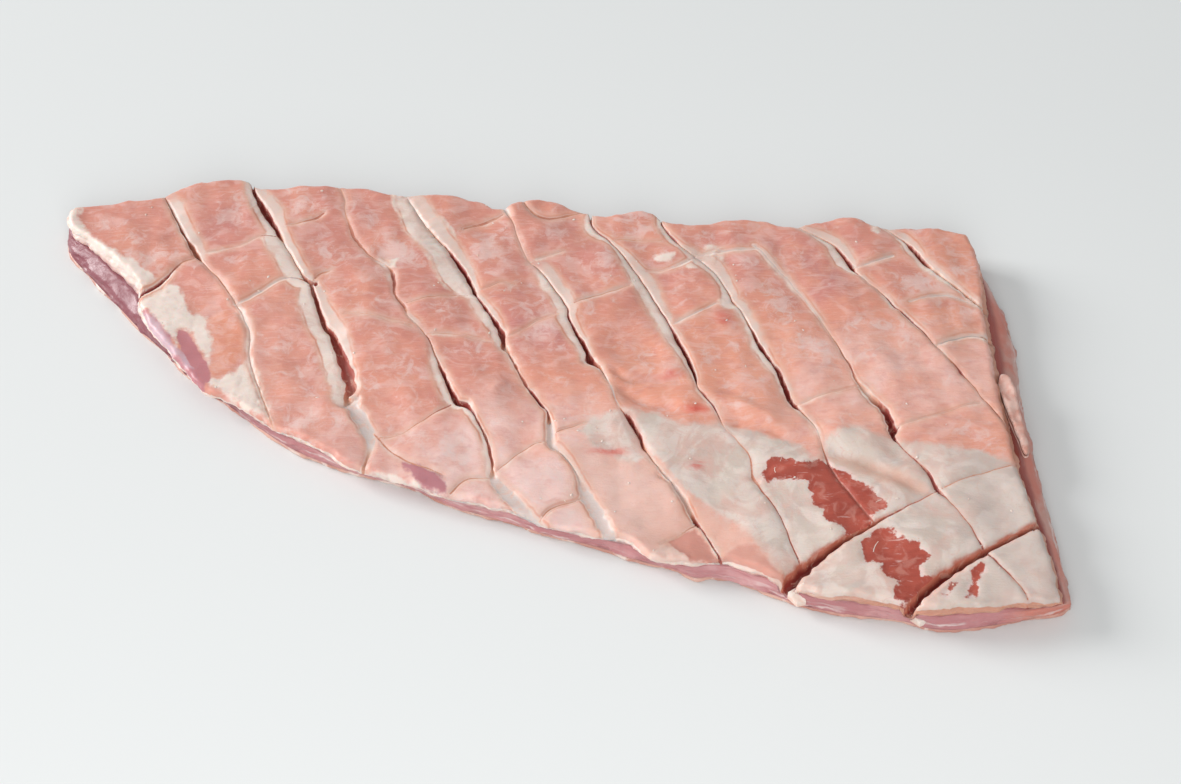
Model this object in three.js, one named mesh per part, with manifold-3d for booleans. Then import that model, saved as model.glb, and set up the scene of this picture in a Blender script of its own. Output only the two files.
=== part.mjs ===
// A boned breast of lamb, raw, lying flat with its fat side up and scored in a diamond pattern.
// Millimetres, +Z up, the origin on the floor under the middle. The wide, straight-cut end is at +X.
// Three layers lie on each other: the scored fat cover, the lean and a thin lining.
import * as THREE from 'three';
import Module from 'manifold-3d';

const wasm = await Module();
wasm.setup();

// Driving sizes
const liningThickness = 2.2;
const leanShare = 0.55;       // share of the height over the lining that is lean
const layerGap = 0.3;
const rimRadius = 2.2;        // rounding of the cover's upper edge
const windowDrop = 0.9;       // the lean in a torn window lies this far under the cover's face
const cellsAlong = 28;
const cellsAcross = 14;
const rimLines = [0.0042, 0.0115];   // grid lines close to the edge, as a share of the side
const layerCell = 24;         // cell of the surface between the cover and the lean
const farUp = 60;
const farDown = -6;
const blockHalf = [240, 144];  // half size in plan of the blocks that part the layers
const plugRoot = 2;           // the lean that fills a window starts this far over the lining
const arcSteps = 1200;

// Places where the height was judged: x, y, height
const heightMarks = [
  [-207, 93, 13], [-183, 67, 16.5], [-168, 43, 13], [-152, 23, 11], [-128, -3, 11.5],
  [-100, -25, 12.5], [-72, -41, 11.5], [-30, -57, 10.5], [20, -71, 10], [60, -85, 11],
  [98, -98, 13.5], [130, -107, 15], [165, -111, 17], [205, -109, 15.5], [201, -59, 17],
  [195, 1, 17.5], [192, 61, 17], [186, 83, 16.5], [140, 89, 17.5], [60, 89, 18],
  [-10, 99, 18], [-80, 107, 18.5], [-150, 113, 18], [-190, 101, 16], [-120, 56, 20],
  [-60, 41, 20], [10, 41, 19.5], [80, 31, 19.5], [150, 31, 19.5], [-30, -9, 17.5],
  [40, -19, 17], [70, -54, 14.5], [110, -59, 15.5], [150, -64, 17.5],
];
const markReach = 30;         // a mark's height fades into its neighbours' over this distance

// Swells and hollows of the face: x, y, length, width, turn in degrees, rise
const swells = [
  [140, -44, 22, 9, -28, -1.6], [88, -17, 26, 5, -24, 1.3], [46, -12, 20, 4, -22, -1.1],
  [96, -29, 14, 4, -25, -1.0], [48, 4, 22, 5, -12, 0.9], [132, -30, 12, 6, -10, 1.0],
  [160, -26, 16, 6, 4, 0.8], [-140, 18, 10, 18, -15, 0.9], [-12, 92, 6, 9, 0, 0.7],
];

// The plan of the cover's upper edge, one run for each side
const coverLeft = [[-72, -44], [-79, -41], [-85, -35], [-101, -26], [-110, -21], [-125, -10],
  [-141, -1], [-149, 9], [-160, 23], [-168, 34], [-173, 46], [-174, 55], [-187, 70], [-200, 83],
  [-208, 90], [-211, 96], [-210, 102]];
const coverFront = [[-72, -44], [-51, -51], [-38, -56], [-20, -61], [-10, -64], [0, -69], [10, -73],
  [25, -76], [38, -80], [46, -88], [60, -90], [72, -89], [86, -94], [98, -101], [112, -107],
  [128, -109], [140, -112], [152, -115], [166, -115], [180, -113], [205, -111]];
const coverRight = [[205, -111], [202, -87], [197, -61], [194, -37], [192, -4], [191, 36],
  [192, 63], [191, 76], [189, 84]];
const coverBack = [[-210, 102], [-204, 104], [-190, 105], [-173, 107], [-165, 111], [-157, 115],
  [-146, 117], [-132, 117], [-127, 113], [-105, 113], [-78, 111], [-70, 108], [-45, 107],
  [-27, 103], [-18, 99], [-6, 104], [5, 103], [20, 97], [27, 94], [42, 97], [50, 95], [55, 91],
  [68, 89], [85, 92], [98, 91], [109, 88], [128, 93], [141, 93], [149, 89], [175, 87], [189, 84]];

// The plan of the foot, where the lining meets the floor
const footLeft = [[-73, -40], [-88, -34], [-103, -26], [-123, -10], [-133, -1], [-147, 10],
  [-159, 24], [-174, 40], [-186, 54], [-200, 71], [-210, 84], [-212, 93], [-208, 99]];
const footFront = [[-73, -40], [-52, -47], [-33, -57], [-10, -65], [5, -71], [25, -77], [45, -85],
  [56, -88], [63, -92], [71, -92], [91, -99], [107, -106], [132, -111], [145, -113], [153, -116],
  [161, -117], [172, -116], [194, -112], [206, -109], [211, -106]];
const footRight = [[211, -106], [210, -83], [208, -60], [206, -32], [204, 2], [205, 20],
  [202, 48], [196, 66], [190, 76], [187, 82]];
const footBack = [[-208, 99], [-190, 102], [-172, 104], [-157, 112], [-132, 113], [-105, 110],
  [-70, 106], [-27, 100], [5, 100], [42, 94], [68, 87], [98, 88], [128, 90], [149, 86], [187, 82]];

// Scores in the cover: gape at the face, share of the cover's depth, route in plan.
// Those that run out at an edge start or end beyond it.
const scores = [
  [2.0, 0.62, [[-170, 113], [-159, 88], [-147, 67], [-133, 48], [-124, 28], [-119, 7], [-108, -26]]],
  [3.0, 0.72, [[-131, 120], [-122, 96], [-109, 70], [-98, 47], [-87, 22], [-80, -4], [-69, -30], [-70, -50]]],
  [1.4, 0.5, [[-89, 114], [-84, 86], [-67, 63], [-58, 40], [-44, 14], [-34, -11], [-22, -29], [-16, -52], [3, -75]]],
  [2.4, 0.7, [[-64, 112], [-52, 90], [-33, 60], [-21, 36], [-9, 6], [4, -17], [10, -37], [18, -52], [31, -81]]],
  [1.8, 0.66, [[-18, 104], [-6, 67], [10, 43], [19, 18], [30, -4], [42, -31], [54, -50], [65, -76], [75, -94]]],
  [1.6, 0.66, [[20, 101], [34, 73], [53, 36], [66, -1], [83, -34], [92, -58], [103, -92]]],
  [2.0, 0.66, [[52, 96], [68, 69], [84, 42], [98, 8], [108, -16], [117, -42]]],
  [1.4, 0.55, [[93, 76], [110, 48], [129, 10], [142, -14], [157, -47], [177, -88], [194, -118]]],
  [2.0, 0.62, [[107, 93], [130, 75], [147, 48], [163, 26], [182, -7], [197, -32]]],
  [2.0, 0.62, [[145, 95], [164, 73], [183, 48], [196, 36]]],
  [1.6, 0.62, [[-180, 46], [-168, 55], [-149, 70]]],
  [1.0, 0.4, [[-147, 72], [-119, 82], [-96, 95]]],
  [1.4, 0.5, [[-132, 42], [-110, 56], [-91, 61]]],
  [1.0, 0.4, [[-68, -27], [-50, -43], [-33, -49], [-18, -49]]],
  [0.9, 0.4, [[5, -64], [21, -57]]],
  [1.0, 0.4, [[-34, 85], [-15, 95], [-3, 93], [22, 98]]],
  [1.2, 0.4, [[13, 39], [39, 51]]],
  [1.2, 0.45, [[64, 67], [90, 73], [98, 71]]],
  [1.0, 0.35, [[56, 29], [80, 42]]],
  [1.2, 0.45, [[136, 63], [158, 72]]],
  [1.2, 0.45, [[156, 41], [172, 47], [188, 42]]],
  [1.6, 0.5, [[166, 16], [176, 22], [197, 21]]],
  [0.8, 0.5, [[142, -71], [162, -59], [198, -44]]],
];
// Slits that gape down into the lean: gape, depth, route
const slits = [
  [2.6, 8.5, [[-129, 112], [-122, 97], [-116, 84]]],
  [2.2, 8.5, [[-97, 45], [-90, 28]]],
  [5.0, 9.0, [[-89, 24], [-83, 12], [-78, -4]]],
  [2.0, 8.5, [[-41, 5], [-34, -11], [-27, -18]]],
  [1.8, 8.5, [[-37, 67], [-28, 48]]],
  [2.0, 8.5, [[-21, 36], [-15, 21]]],
  [2.8, 8.5, [[14, 30], [22, 9]]],
  [2.2, 7.5, [[37, -20], [44, -34]]],
  [1.8, 8.5, [[57, 24], [66, -2]]],
  [2.6, 8.5, [[94, 17], [101, 1], [107, -15]]],
  [3.0, 8.5, [[139, -9], [146, -30]]],
  [1.6, 8.5, [[155, 37], [166, 20]]],
  [2.4, 8.0, [[133, 70], [136, 61]]],
  [2.6, 8.0, [[163, 74], [168, 66]]],
  [4.6, 9.0, [[93, -112], [103, -98], [114, -88], [124, -81], [131, -76]]],
  [3.8, 9.5, [[138, -122], [150, -108], [162, -98], [173, -90]]],
];
const coverTail = [2.4, 0.8, [[170, -92], [186, -82], [205, -73]]];   // the last slit runs on, shallower
const slitLean = 0.25;        // width of a slit's floor, as a share of its gape
const shoulderWidth = 1.9;    // a score's rounded lips reach this many gapes out
const shoulderDepth = 0.8;
const bladeRise = 1.6;        // blades stand this far over the face
const bladeStep = 20;
const fineGape = 1.7;         // scores finer than this are a plain V
const bladeEnd = 0.35;        // share of the gape left at a cut's ends
const slitLip = 0.3;

// Windows where the cover is torn away and the lean shows
const windows = [
  [[91, -42], [104, -39], [109, -38], [113, -44], [119, -43], [131, -54], [138, -62], [136, -68],
    [127, -73], [117, -74], [112, -68], [108, -64], [110, -57], [97, -55], [91, -50]],
  [[138, -79], [144, -80], [153, -90], [150, -100], [147, -105], [142, -105], [140, -101],
    [132, -95], [125, -91], [129, -85]],
  [[-156, 26], [-153, 30], [-149, 28], [-143, 19], [-140, 12], [-143, 10], [-150, 18]],
];

// Share of the way from the cover's edge to the foot that each layer's wall has gone
const coverWallSpread = 0.18;
const leanWall = [[1.0, 0.28], [0.55, 0.78], [0.12, 0.97]];    // share of the lean's height, spread
const liningInset = [1.3, 0, 0.7];                         // at the floor, at its lip, at its top
const liningLip = 0.9;

const { sin, cos, hypot, sqrt, min, max } = Math;
const liningTop = liningThickness;
const leanBottom = liningTop + layerGap;

// Height of the whole piece at a place in plan
function markedHeight(x, y) {
  let total = 0;
  let weights = 0;
  for (const [mx, my, height] of heightMarks) {
    const weight = 1 / ((x - mx) ** 2 + (y - my) ** 2 + markReach ** 2) ** 2;
    total += weight * height;
    weights += weight;
  }
  return total / weights;
}

function swellHeight(x, y) {
  let rise = 0;
  for (const [sx, sy, length, width, turn, height] of swells) {
    const angle = THREE.MathUtils.degToRad(turn);
    const along = ((x - sx) * cos(angle) + (y - sy) * sin(angle)) / length;
    const across = ((y - sy) * cos(angle) - (x - sx) * sin(angle)) / width;
    rise += height * Math.exp(-(along ** 2) - across ** 2);
  }
  return rise;
}

const faceHeight = (x, y) => markedHeight(x, y) + swellHeight(x, y);
const leanTop = (x, y) => leanBottom + leanShare * (markedHeight(x, y) - leanBottom);

// Curves and loops
function planCurve(points) {
  const curve = new THREE.CatmullRomCurve3(points.map(([x, y]) => new THREE.Vector3(x, y, 0)));
  curve.arcLengthDivisions = arcSteps;
  return curve;
}

// Shares along a side: even cells with two closer lines at each end
function sideShares(cells) {
  const shares = [0, ...rimLines];
  for (let i = 1; i < cells; i += 1) shares.push(i / cells);
  return [...shares, ...rimLines.map((share) => 1 - share).reverse(), 1];
}
const sharesAlong = sideShares(cellsAlong);
const sharesAcross = sideShares(cellsAcross);

// A closed loop, anticlockwise from above, with the same count for every outline
function loopOf(left, front, right, back) {
  const sides = [
    [front, sharesAlong, 1], [right, sharesAcross, 1], [back, sharesAlong, -1], [left, sharesAcross, -1],
  ];
  return sides.flatMap(([points, shares, way]) => {
    const curve = planCurve(points);
    const run = shares.map((share) => curve.getPointAt(share));
    return (way > 0 ? run : run.reverse()).slice(0, -1).map((p) => [p.x, p.y]);
  });
}

function insetLoop(loop, distance) {
  const count = loop.length;
  return loop.map(([x, y], i) => {
    const [ax, ay] = loop[(i + count - 1) % count];
    const [bx, by] = loop[(i + 1) % count];
    const length = hypot(bx - ax, by - ay);
    return [x - (distance * (by - ay)) / length, y + (distance * (bx - ax)) / length];
  });
}

const blend = (a, b, share) => a + (b - a) * share;
const blendLoops = (a, b, share) => a.map(([x, y], i) => [blend(x, b[i][0], share), blend(y, b[i][1], share)]);

function distanceToLoop(x, y, loop) {
  let nearest = Infinity;
  loop.forEach(([ax, ay], i) => {
    const [bx, by] = loop[(i + 1) % loop.length];
    const along = ((x - ax) * (bx - ax) + (y - ay) * (by - ay)) / ((bx - ax) ** 2 + (by - ay) ** 2);
    const share = min(1, max(0, along));
    nearest = min(nearest, hypot(x - ax - share * (bx - ax), y - ay - share * (by - ay)));
  });
  return nearest;
}

// Meshes: a list of vertices and a list of triangles
class Shell {
  constructor() {
    this.points = [];
    this.faces = [];
  }
  add(x, y, z) {
    this.points.push(x, y, z);
    return this.points.length / 3 - 1;
  }
  ring(loop, height) {
    return loop.map(([x, y]) => this.add(x, y, height(x, y)));
  }
  // Joins two rings of equal count; the first is the lower one of an anticlockwise pair
  join(lower, upper) {
    lower.forEach((a, i) => {
      const b = lower[(i + 1) % lower.length];
      const c = upper[(i + 1) % upper.length];
      this.faces.push(a, b, c, a, c, upper[i]);
    });
  }
  // Closes a flat ring, facing up or down
  close(ring, loop, up) {
    const outline = loop.map(([x, y]) => new THREE.Vector2(x, y));
    for (const [a, b, c] of THREE.ShapeUtils.triangulateShape(outline, [])) {
      this.faces.push(ring[a], up ? ring[b] : ring[c], up ? ring[c] : ring[b]);
    }
  }
  // Closes a ring whose two halves mirror each other, pair by pair
  closeProfile(ring, forward) {
    for (let i = 0; i + 1 < ring.length / 2; i += 1) {
      const [a, b] = [ring[i], ring[i + 1]];
      const [c, d] = [ring.at(-2 - i), ring.at(-1 - i)];
      if (forward) this.faces.push(a, b, c, a, c, d);
      else this.faces.push(a, c, b, a, d, c);
    }
  }
  solid() {
    const mesh = new wasm.Mesh({
      numProp: 3,
      vertProperties: new Float32Array(this.points),
      triVerts: new Uint32Array(this.faces),
    });
    return new wasm.Manifold(mesh);
  }
}

const coverLoop = loopOf(coverLeft, coverFront, coverRight, coverBack);
const footLoop = loopOf(footLeft, footFront, footRight, footBack);

// The cover before its lower side is cut to the lean
function coverBody() {
  const shell = new Shell();
  const [front, back, left, right] = [coverFront, coverBack, coverLeft, coverRight].map(planCurve);
  const corners = [[0, 0], [1, 0], [0, 1], [1, 1]].map(([u, v]) => (v ? back : front).getPointAt(u));
  const ids = sharesAcross.map((v) => sharesAlong.map((u) => {
    const a = front.getPointAt(u).lerp(back.getPointAt(u), v);
    const b = left.getPointAt(v).lerp(right.getPointAt(v), u);
    const low = corners[0].clone().lerp(corners[1], u);
    const high = corners[2].clone().lerp(corners[3], u);
    const p = a.add(b).sub(low.lerp(high, v));
    const inside = min(1, distanceToLoop(p.x, p.y, coverLoop) / rimRadius);
    const drop = rimRadius * (1 - sqrt(1 - (1 - inside) ** 2));
    return shell.add(p.x, p.y, faceHeight(p.x, p.y) - drop);
  }));
  const rows = ids.length - 1;
  const columns = ids[0].length - 1;
  for (let j = 0; j < rows; j += 1) {
    for (let i = 0; i < columns; i += 1) {
      const [a, b, c, d] = [ids[j][i], ids[j][i + 1], ids[j + 1][i + 1], ids[j + 1][i]];
      if ((i + j) % 2) shell.faces.push(a, b, c, a, c, d);
      else shell.faces.push(a, b, d, b, c, d);
    }
  }
  const rim = [
    ...ids[0].slice(0, -1),
    ...ids.slice(0, -1).map((row) => row[columns]),
    ...ids[rows].slice(1).reverse(),
    ...ids.slice(1).reverse().map((row) => row[0]),
  ];
  const wall = blendLoops(coverLoop, footLoop, coverWallSpread);
  const middle = shell.ring(wall, leanTop);
  const bottom = shell.ring(wall, () => farDown);
  shell.join(middle, rim);
  shell.join(bottom, middle);
  shell.close(bottom, wall, false);
  return shell.solid();
}

function leanBody() {
  const shell = new Shell();
  const bottomLoop = blendLoops(coverLoop, footLoop, leanWall.at(-1)[1]);
  const bottom = shell.ring(bottomLoop, () => leanBottom);
  shell.close(bottom, bottomLoop, false);
  let below = bottom;
  for (const [share, spread] of [...leanWall].reverse()) {
    const height = (x, y) => leanBottom + share * (leanTop(x, y) - leanBottom);
    const next = shell.ring(blendLoops(coverLoop, footLoop, spread), height);
    shell.join(below, next);
    below = next;
  }
  const topLoop = blendLoops(coverLoop, footLoop, leanWall[0][1]);
  const top = shell.ring(topLoop, () => farUp / 2);
  shell.join(below, top);
  shell.close(top, topLoop, true);
  return shell.solid();
}

function liningBody() {
  const shell = new Shell();
  const heights = [0, liningLip, liningTop];
  const loops = liningInset.map((inset) => insetLoop(footLoop, inset));
  const rings = loops.map((loop, i) => shell.ring(loop, () => heights[i]));
  shell.close(rings[0], loops[0], false);
  shell.join(rings[0], rings[1]);
  shell.join(rings[1], rings[2]);
  shell.close(rings[2], loops[2], true);
  return shell.solid();
}

// A block over the whole plan, between the layers' common surface and a far level
function blockTo(farLevel) {
  const shell = new Shell();
  const [xs, ys] = blockHalf.map((half) => {
    const steps = (2 * half) / layerCell;
    return Array.from({ length: steps + 1 }, (_, i) => i * layerCell - half);
  });
  const up = farLevel > 0;
  const near = ys.map((y) => xs.map((x) => shell.add(x, y, leanTop(x, y) + (up ? layerGap : 0))));
  const loop = [
    ...near[0].slice(0, -1),
    ...near.slice(0, -1).map((row) => row.at(-1)),
    ...near.at(-1).slice(1).reverse(),
    ...near.slice(1).reverse().map((row) => row[0]),
  ];
  for (let j = 0; j + 1 < ys.length; j += 1) {
    for (let i = 0; i + 1 < xs.length; i += 1) {
      const [a, b, c, d] = [near[j][i], near[j][i + 1], near[j + 1][i + 1], near[j + 1][i]];
      if (up) shell.faces.push(a, c, b, a, d, c);
      else shell.faces.push(a, b, c, a, c, d);
    }
  }
  const plan = loop.map((id) => [shell.points[3 * id], shell.points[3 * id + 1]]);
  const far = shell.ring(plan, () => farLevel);
  if (up) shell.join(loop, far);
  else shell.join(far, loop);
  shell.close(far, plan, up);
  return shell.solid();
}

// A blade along a route: lips that spread at the face, and a narrow slot down to the floor
function blade(gape, depthAt, route, shoulders) {
  const curve = planCurve(route);
  const count = max(2, Math.round(curve.getLength() / bladeStep));
  const shell = new Shell();
  const rings = [];
  for (let i = 0; i <= count; i += 1) {
    const p = curve.getPointAt(i / count);
    const t = curve.getTangentAt(i / count);
    const face = faceHeight(p.x, p.y);
    const half = (gape / 2) * (i === 0 || i === count ? bladeEnd : 1);
    const lip = shoulders ? half * shoulderWidth + bladeRise : half + slitLip;
    const depth = depthAt(p.x, p.y);
    const edge = [[-lip, bladeRise], [-half, -shoulderDepth], [-half * slitLean, -depth]];
    const side = gape < fineGape ? [edge[0], edge[2]] : edge;
    const profile = [...side, ...side.map(([across, rise]) => [-across, rise]).reverse()];
    rings.push(profile.map(([across, rise]) => shell.add(p.x - t.y * across, p.y + t.x * across, face + rise)));
  }
  for (let i = 0; i < count; i += 1) shell.join(rings[i], rings[i + 1]);
  shell.closeProfile(rings[0], false);
  shell.closeProfile(rings[count], true);
  return shell.solid();
}

function windowPrism(outline, bottom, top) {
  const shell = new Shell();
  const low = shell.ring(outline, () => bottom);
  const high = shell.ring(outline, () => top);
  shell.join(low, high);
  shell.close(low, outline, false);
  shell.close(high, outline, true);
  return shell.solid();
}

const anticlockwise = (loop) => {
  const outline = loop.map(([x, y]) => new THREE.Vector2(x, y));
  return THREE.ShapeUtils.isClockWise(outline) ? [...loop].reverse() : loop;
};

// The layers
const coverDepth = (x, y) => faceHeight(x, y) - leanTop(x, y) - layerGap;
const wholeCover = coverBody();
let fatCover = wholeCover.intersect(blockTo(farUp));
let lean = leanBody().intersect(blockTo(farDown));
const loweredFace = wholeCover.translate([0, 0, -windowDrop]);
for (const outline of windows.map(anticlockwise)) {
  fatCover = fatCover.subtract(windowPrism(outline, farDown, farUp));
  const plug = windowPrism(insetLoop(outline, layerGap), liningTop + plugRoot, farUp);
  lean = lean.add(loweredFace.intersect(plug));
}
for (const [gape, share, route] of [...scores, coverTail]) {
  fatCover = fatCover.subtract(blade(gape, (x, y) => share * coverDepth(x, y), route, true));
}
for (const [gape, depth, route] of slits) {
  const cut = blade(gape, () => depth, route, false);
  fatCover = fatCover.subtract(cut);
  lean = lean.subtract(cut);
}

// Scene graph
function meshOf(name, solid, colour, roughness) {
  const { vertProperties, triVerts } = solid.getMesh();
  const geometry = new THREE.BufferGeometry();
  geometry.setAttribute('position', new THREE.BufferAttribute(vertProperties, 3));
  geometry.setIndex(new THREE.BufferAttribute(triVerts, 1));
  const material = new THREE.MeshStandardMaterial({ color: colour, roughness, metalness: 0 });
  const mesh = new THREE.Mesh(geometry, material);
  mesh.name = name;
  return mesh;
}

const lambBreast = new THREE.Group();
lambBreast.name = 'lamb_breast';
lambBreast.add(
  meshOf('fat_cover', fatCover, 0xdba08f, 0.45),
  meshOf('lean', lean, 0xb9767a, 0.42),
  meshOf('lining', liningBody(), 0xc9857a, 0.5),
);

export default lambBreast;
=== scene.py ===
import math

import bpy
import numpy as np
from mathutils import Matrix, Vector
from mathutils.geometry import delaunay_2d_cdt


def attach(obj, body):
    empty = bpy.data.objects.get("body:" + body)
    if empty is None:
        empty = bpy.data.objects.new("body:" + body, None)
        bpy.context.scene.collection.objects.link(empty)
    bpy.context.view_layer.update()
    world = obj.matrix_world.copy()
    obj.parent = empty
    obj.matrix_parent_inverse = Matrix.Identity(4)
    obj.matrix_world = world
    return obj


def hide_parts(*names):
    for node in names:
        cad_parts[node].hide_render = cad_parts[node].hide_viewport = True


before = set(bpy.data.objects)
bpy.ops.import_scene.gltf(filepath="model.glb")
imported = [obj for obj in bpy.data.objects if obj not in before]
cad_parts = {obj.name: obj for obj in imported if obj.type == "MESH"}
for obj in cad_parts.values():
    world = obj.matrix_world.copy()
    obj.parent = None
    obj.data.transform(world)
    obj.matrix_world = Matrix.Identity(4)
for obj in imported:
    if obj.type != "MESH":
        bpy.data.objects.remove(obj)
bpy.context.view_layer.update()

# A raw, boned breast of lamb: a scored fat cover, the lean and a lining.
# Places in plan are in millimetres, in the part's own frame.
mm = 0.001

photoCamera = {"lens": 70, "sensor": 36, "tilt": 40, "place": (0.022, -0.62196, 0.74883)}
studio = {
    "keyPlace": (-3.75, 1.35, 1.7), "keySize": 1.9, "keyPower": 166,
    "fillPlace": (0.0, -1.0, 0.7), "fillSize": 0.9, "fillPower": 7.0,
    "sky": (0.975, 0.99, 1.0), "skyStrength": 0.445,
    "floor": (0.80, 0.815, 0.81), "floorSize": 6.0,
}


def setCamera(values):
    camera = bpy.data.objects.new("camera", bpy.data.cameras.new("camera"))
    camera.data.lens = values["lens"]
    camera.data.sensor_width = values["sensor"]
    camera.location = values["place"]
    camera.rotation_euler = (math.radians(values["tilt"]), 0, 0)
    bpy.context.collection.objects.link(camera)
    bpy.context.scene.camera = camera


def areaLight(name, place, size, power):
    lamp = bpy.data.objects.new(name, bpy.data.lights.new(name, "AREA"))
    lamp.data.size = size
    lamp.data.energy = power
    lamp.location = place
    lamp.rotation_euler = (-Vector(place)).to_track_quat("-Z", "Y").to_euler()
    bpy.context.collection.objects.link(lamp)


def setStudio(values):
    areaLight("key", values["keyPlace"], values["keySize"], values["keyPower"])
    areaLight("fill", values["fillPlace"], values["fillSize"], values["fillPower"])
    world = bpy.data.worlds.new("studio")
    world.use_nodes = True
    sky = world.node_tree.nodes["Background"]
    sky.inputs["Color"].default_value = (*values["sky"], 1)
    sky.inputs["Strength"].default_value = values["skyStrength"]
    bpy.context.scene.world = world
    bpy.context.scene.view_settings.view_transform = "Standard"
    half = values["floorSize"] / 2
    mesh = bpy.data.meshes.new("floor")
    corners = [(-half, -half, 0), (half, -half, 0), (half, half, 0), (-half, half, 0)]
    mesh.from_pydata(corners, [], [(0, 1, 2, 3)])
    floor = bpy.data.objects.new("floor", mesh)
    bpy.context.collection.objects.link(floor)
    paint = bpy.data.materials.new("floorPaint")
    paint.use_nodes = True
    shader = paint.node_tree.nodes["Principled BSDF"]
    shader.inputs["Base Color"].default_value = (*values["floor"], 1)
    shader.inputs["Roughness"].default_value = 0.75
    shader.inputs["Specular IOR Level"].default_value = 0.2
    mesh.materials.append(paint)


setCamera(photoCamera)
setStudio(studio)
print("stage set")

# Heights judged over the piece: x, y, height
heightMarks = [
    (-207, 93, 13), (-183, 67, 16.5), (-168, 43, 13), (-152, 23, 11), (-128, -3, 11.5),
    (-100, -25, 12.5), (-72, -41, 11.5), (-30, -57, 10.5), (20, -71, 10), (60, -85, 11),
    (98, -98, 13.5), (130, -107, 15), (165, -111, 17), (205, -109, 15.5), (201, -59, 17),
    (195, 1, 17.5), (192, 61, 17), (186, 83, 16.5), (140, 89, 17.5), (60, 89, 18),
    (-10, 99, 18), (-80, 107, 18.5), (-150, 113, 18), (-190, 101, 16), (-120, 56, 20),
    (-60, 41, 20), (10, 41, 19.5), (80, 31, 19.5), (150, 31, 19.5), (-30, -9, 17.5),
    (40, -19, 17), (70, -54, 14.5), (110, -59, 15.5), (150, -64, 17.5),
]
# Swells and hollows of the face: x, y, length, width, turn in degrees, rise
swells = [
    (140, -44, 22, 9, -28, -1.6), (88, -17, 26, 5, -24, 1.3), (46, -12, 20, 4, -22, -1.1),
    (96, -29, 14, 4, -25, -1.0), (48, 4, 22, 5, -12, 0.9), (132, -30, 12, 6, -10, 1.0),
    (160, -26, 16, 6, 4, 0.8), (-140, 18, 10, 18, -15, 0.9), (-12, 92, 6, 9, 0, 0.7),
]
layers = {
    "liningTop": 2.2, "gap": 0.3, "leanShare": 0.55, "markReach": 30, "rimRadius": 2.2,
    "coverSpread": 0.18, "leanHeights": (0, 0.12, 0.55, 1), "leanSpreads": (0.97, 0.97, 0.78, 0.28),
    "leanTopSpread": 0.28, "liningRise": (0, 0.35, 0.9, 1.6, 2.2), "liningInset": (1.3, 0.5, 0, 0.2, 0.7),
}
# The plan of the cover's upper edge and of the foot on the floor, one run for each side
coverEdge = {
    "left": [(-72, -44), (-79, -41), (-85, -35), (-101, -26), (-110, -21), (-125, -10), (-141, -1),
        (-149, 9), (-160, 23), (-168, 34), (-173, 46), (-174, 55), (-187, 70), (-200, 83), (-208, 90),
        (-211, 96), (-210, 102)],
    "front": [(-72, -44), (-51, -51), (-38, -56), (-20, -61), (-10, -64), (0, -69), (10, -73),
        (25, -76), (38, -80), (46, -88), (60, -90), (72, -89), (86, -94), (98, -101), (112, -107),
        (128, -109), (140, -112), (152, -115), (166, -115), (180, -113), (205, -111)],
    "right": [(205, -111), (202, -87), (197, -61), (194, -37), (192, -4), (191, 36), (192, 63),
        (191, 76), (189, 84)],
    "back": [(-210, 102), (-204, 104), (-190, 105), (-173, 107), (-165, 111), (-157, 115), (-146, 117),
        (-132, 117), (-127, 113), (-105, 113), (-78, 111), (-70, 108), (-45, 107), (-27, 103),
        (-18, 99), (-6, 104), (5, 103), (20, 97), (27, 94), (42, 97), (50, 95), (55, 91), (68, 89),
        (85, 92), (98, 91), (109, 88), (128, 93), (141, 93), (149, 89), (175, 87), (189, 84)],
}
footEdge = {
    "left": [(-73, -40), (-88, -34), (-103, -26), (-123, -10), (-133, -1), (-147, 10), (-159, 24),
        (-174, 40), (-186, 54), (-200, 71), (-210, 84), (-212, 93), (-208, 99)],
    "front": [(-73, -40), (-52, -47), (-33, -57), (-10, -65), (5, -71), (25, -77), (45, -85), (56, -88),
        (63, -92), (71, -92), (91, -99), (107, -106), (132, -111), (145, -113), (153, -116),
        (161, -117), (172, -116), (194, -112), (206, -109), (211, -106)],
    "right": [(211, -106), (210, -83), (208, -60), (206, -32), (204, 2), (205, 20), (202, 48),
        (196, 66), (190, 76), (187, 82)],
    "back": [(-208, 99), (-190, 102), (-172, 104), (-157, 112), (-132, 113), (-105, 110), (-70, 106),
        (-27, 100), (5, 100), (42, 94), (68, 87), (98, 88), (128, 90), (149, 86), (187, 82)],
}
edgeCells = {"left": 175, "front": 250, "right": 163, "back": 342}
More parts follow.
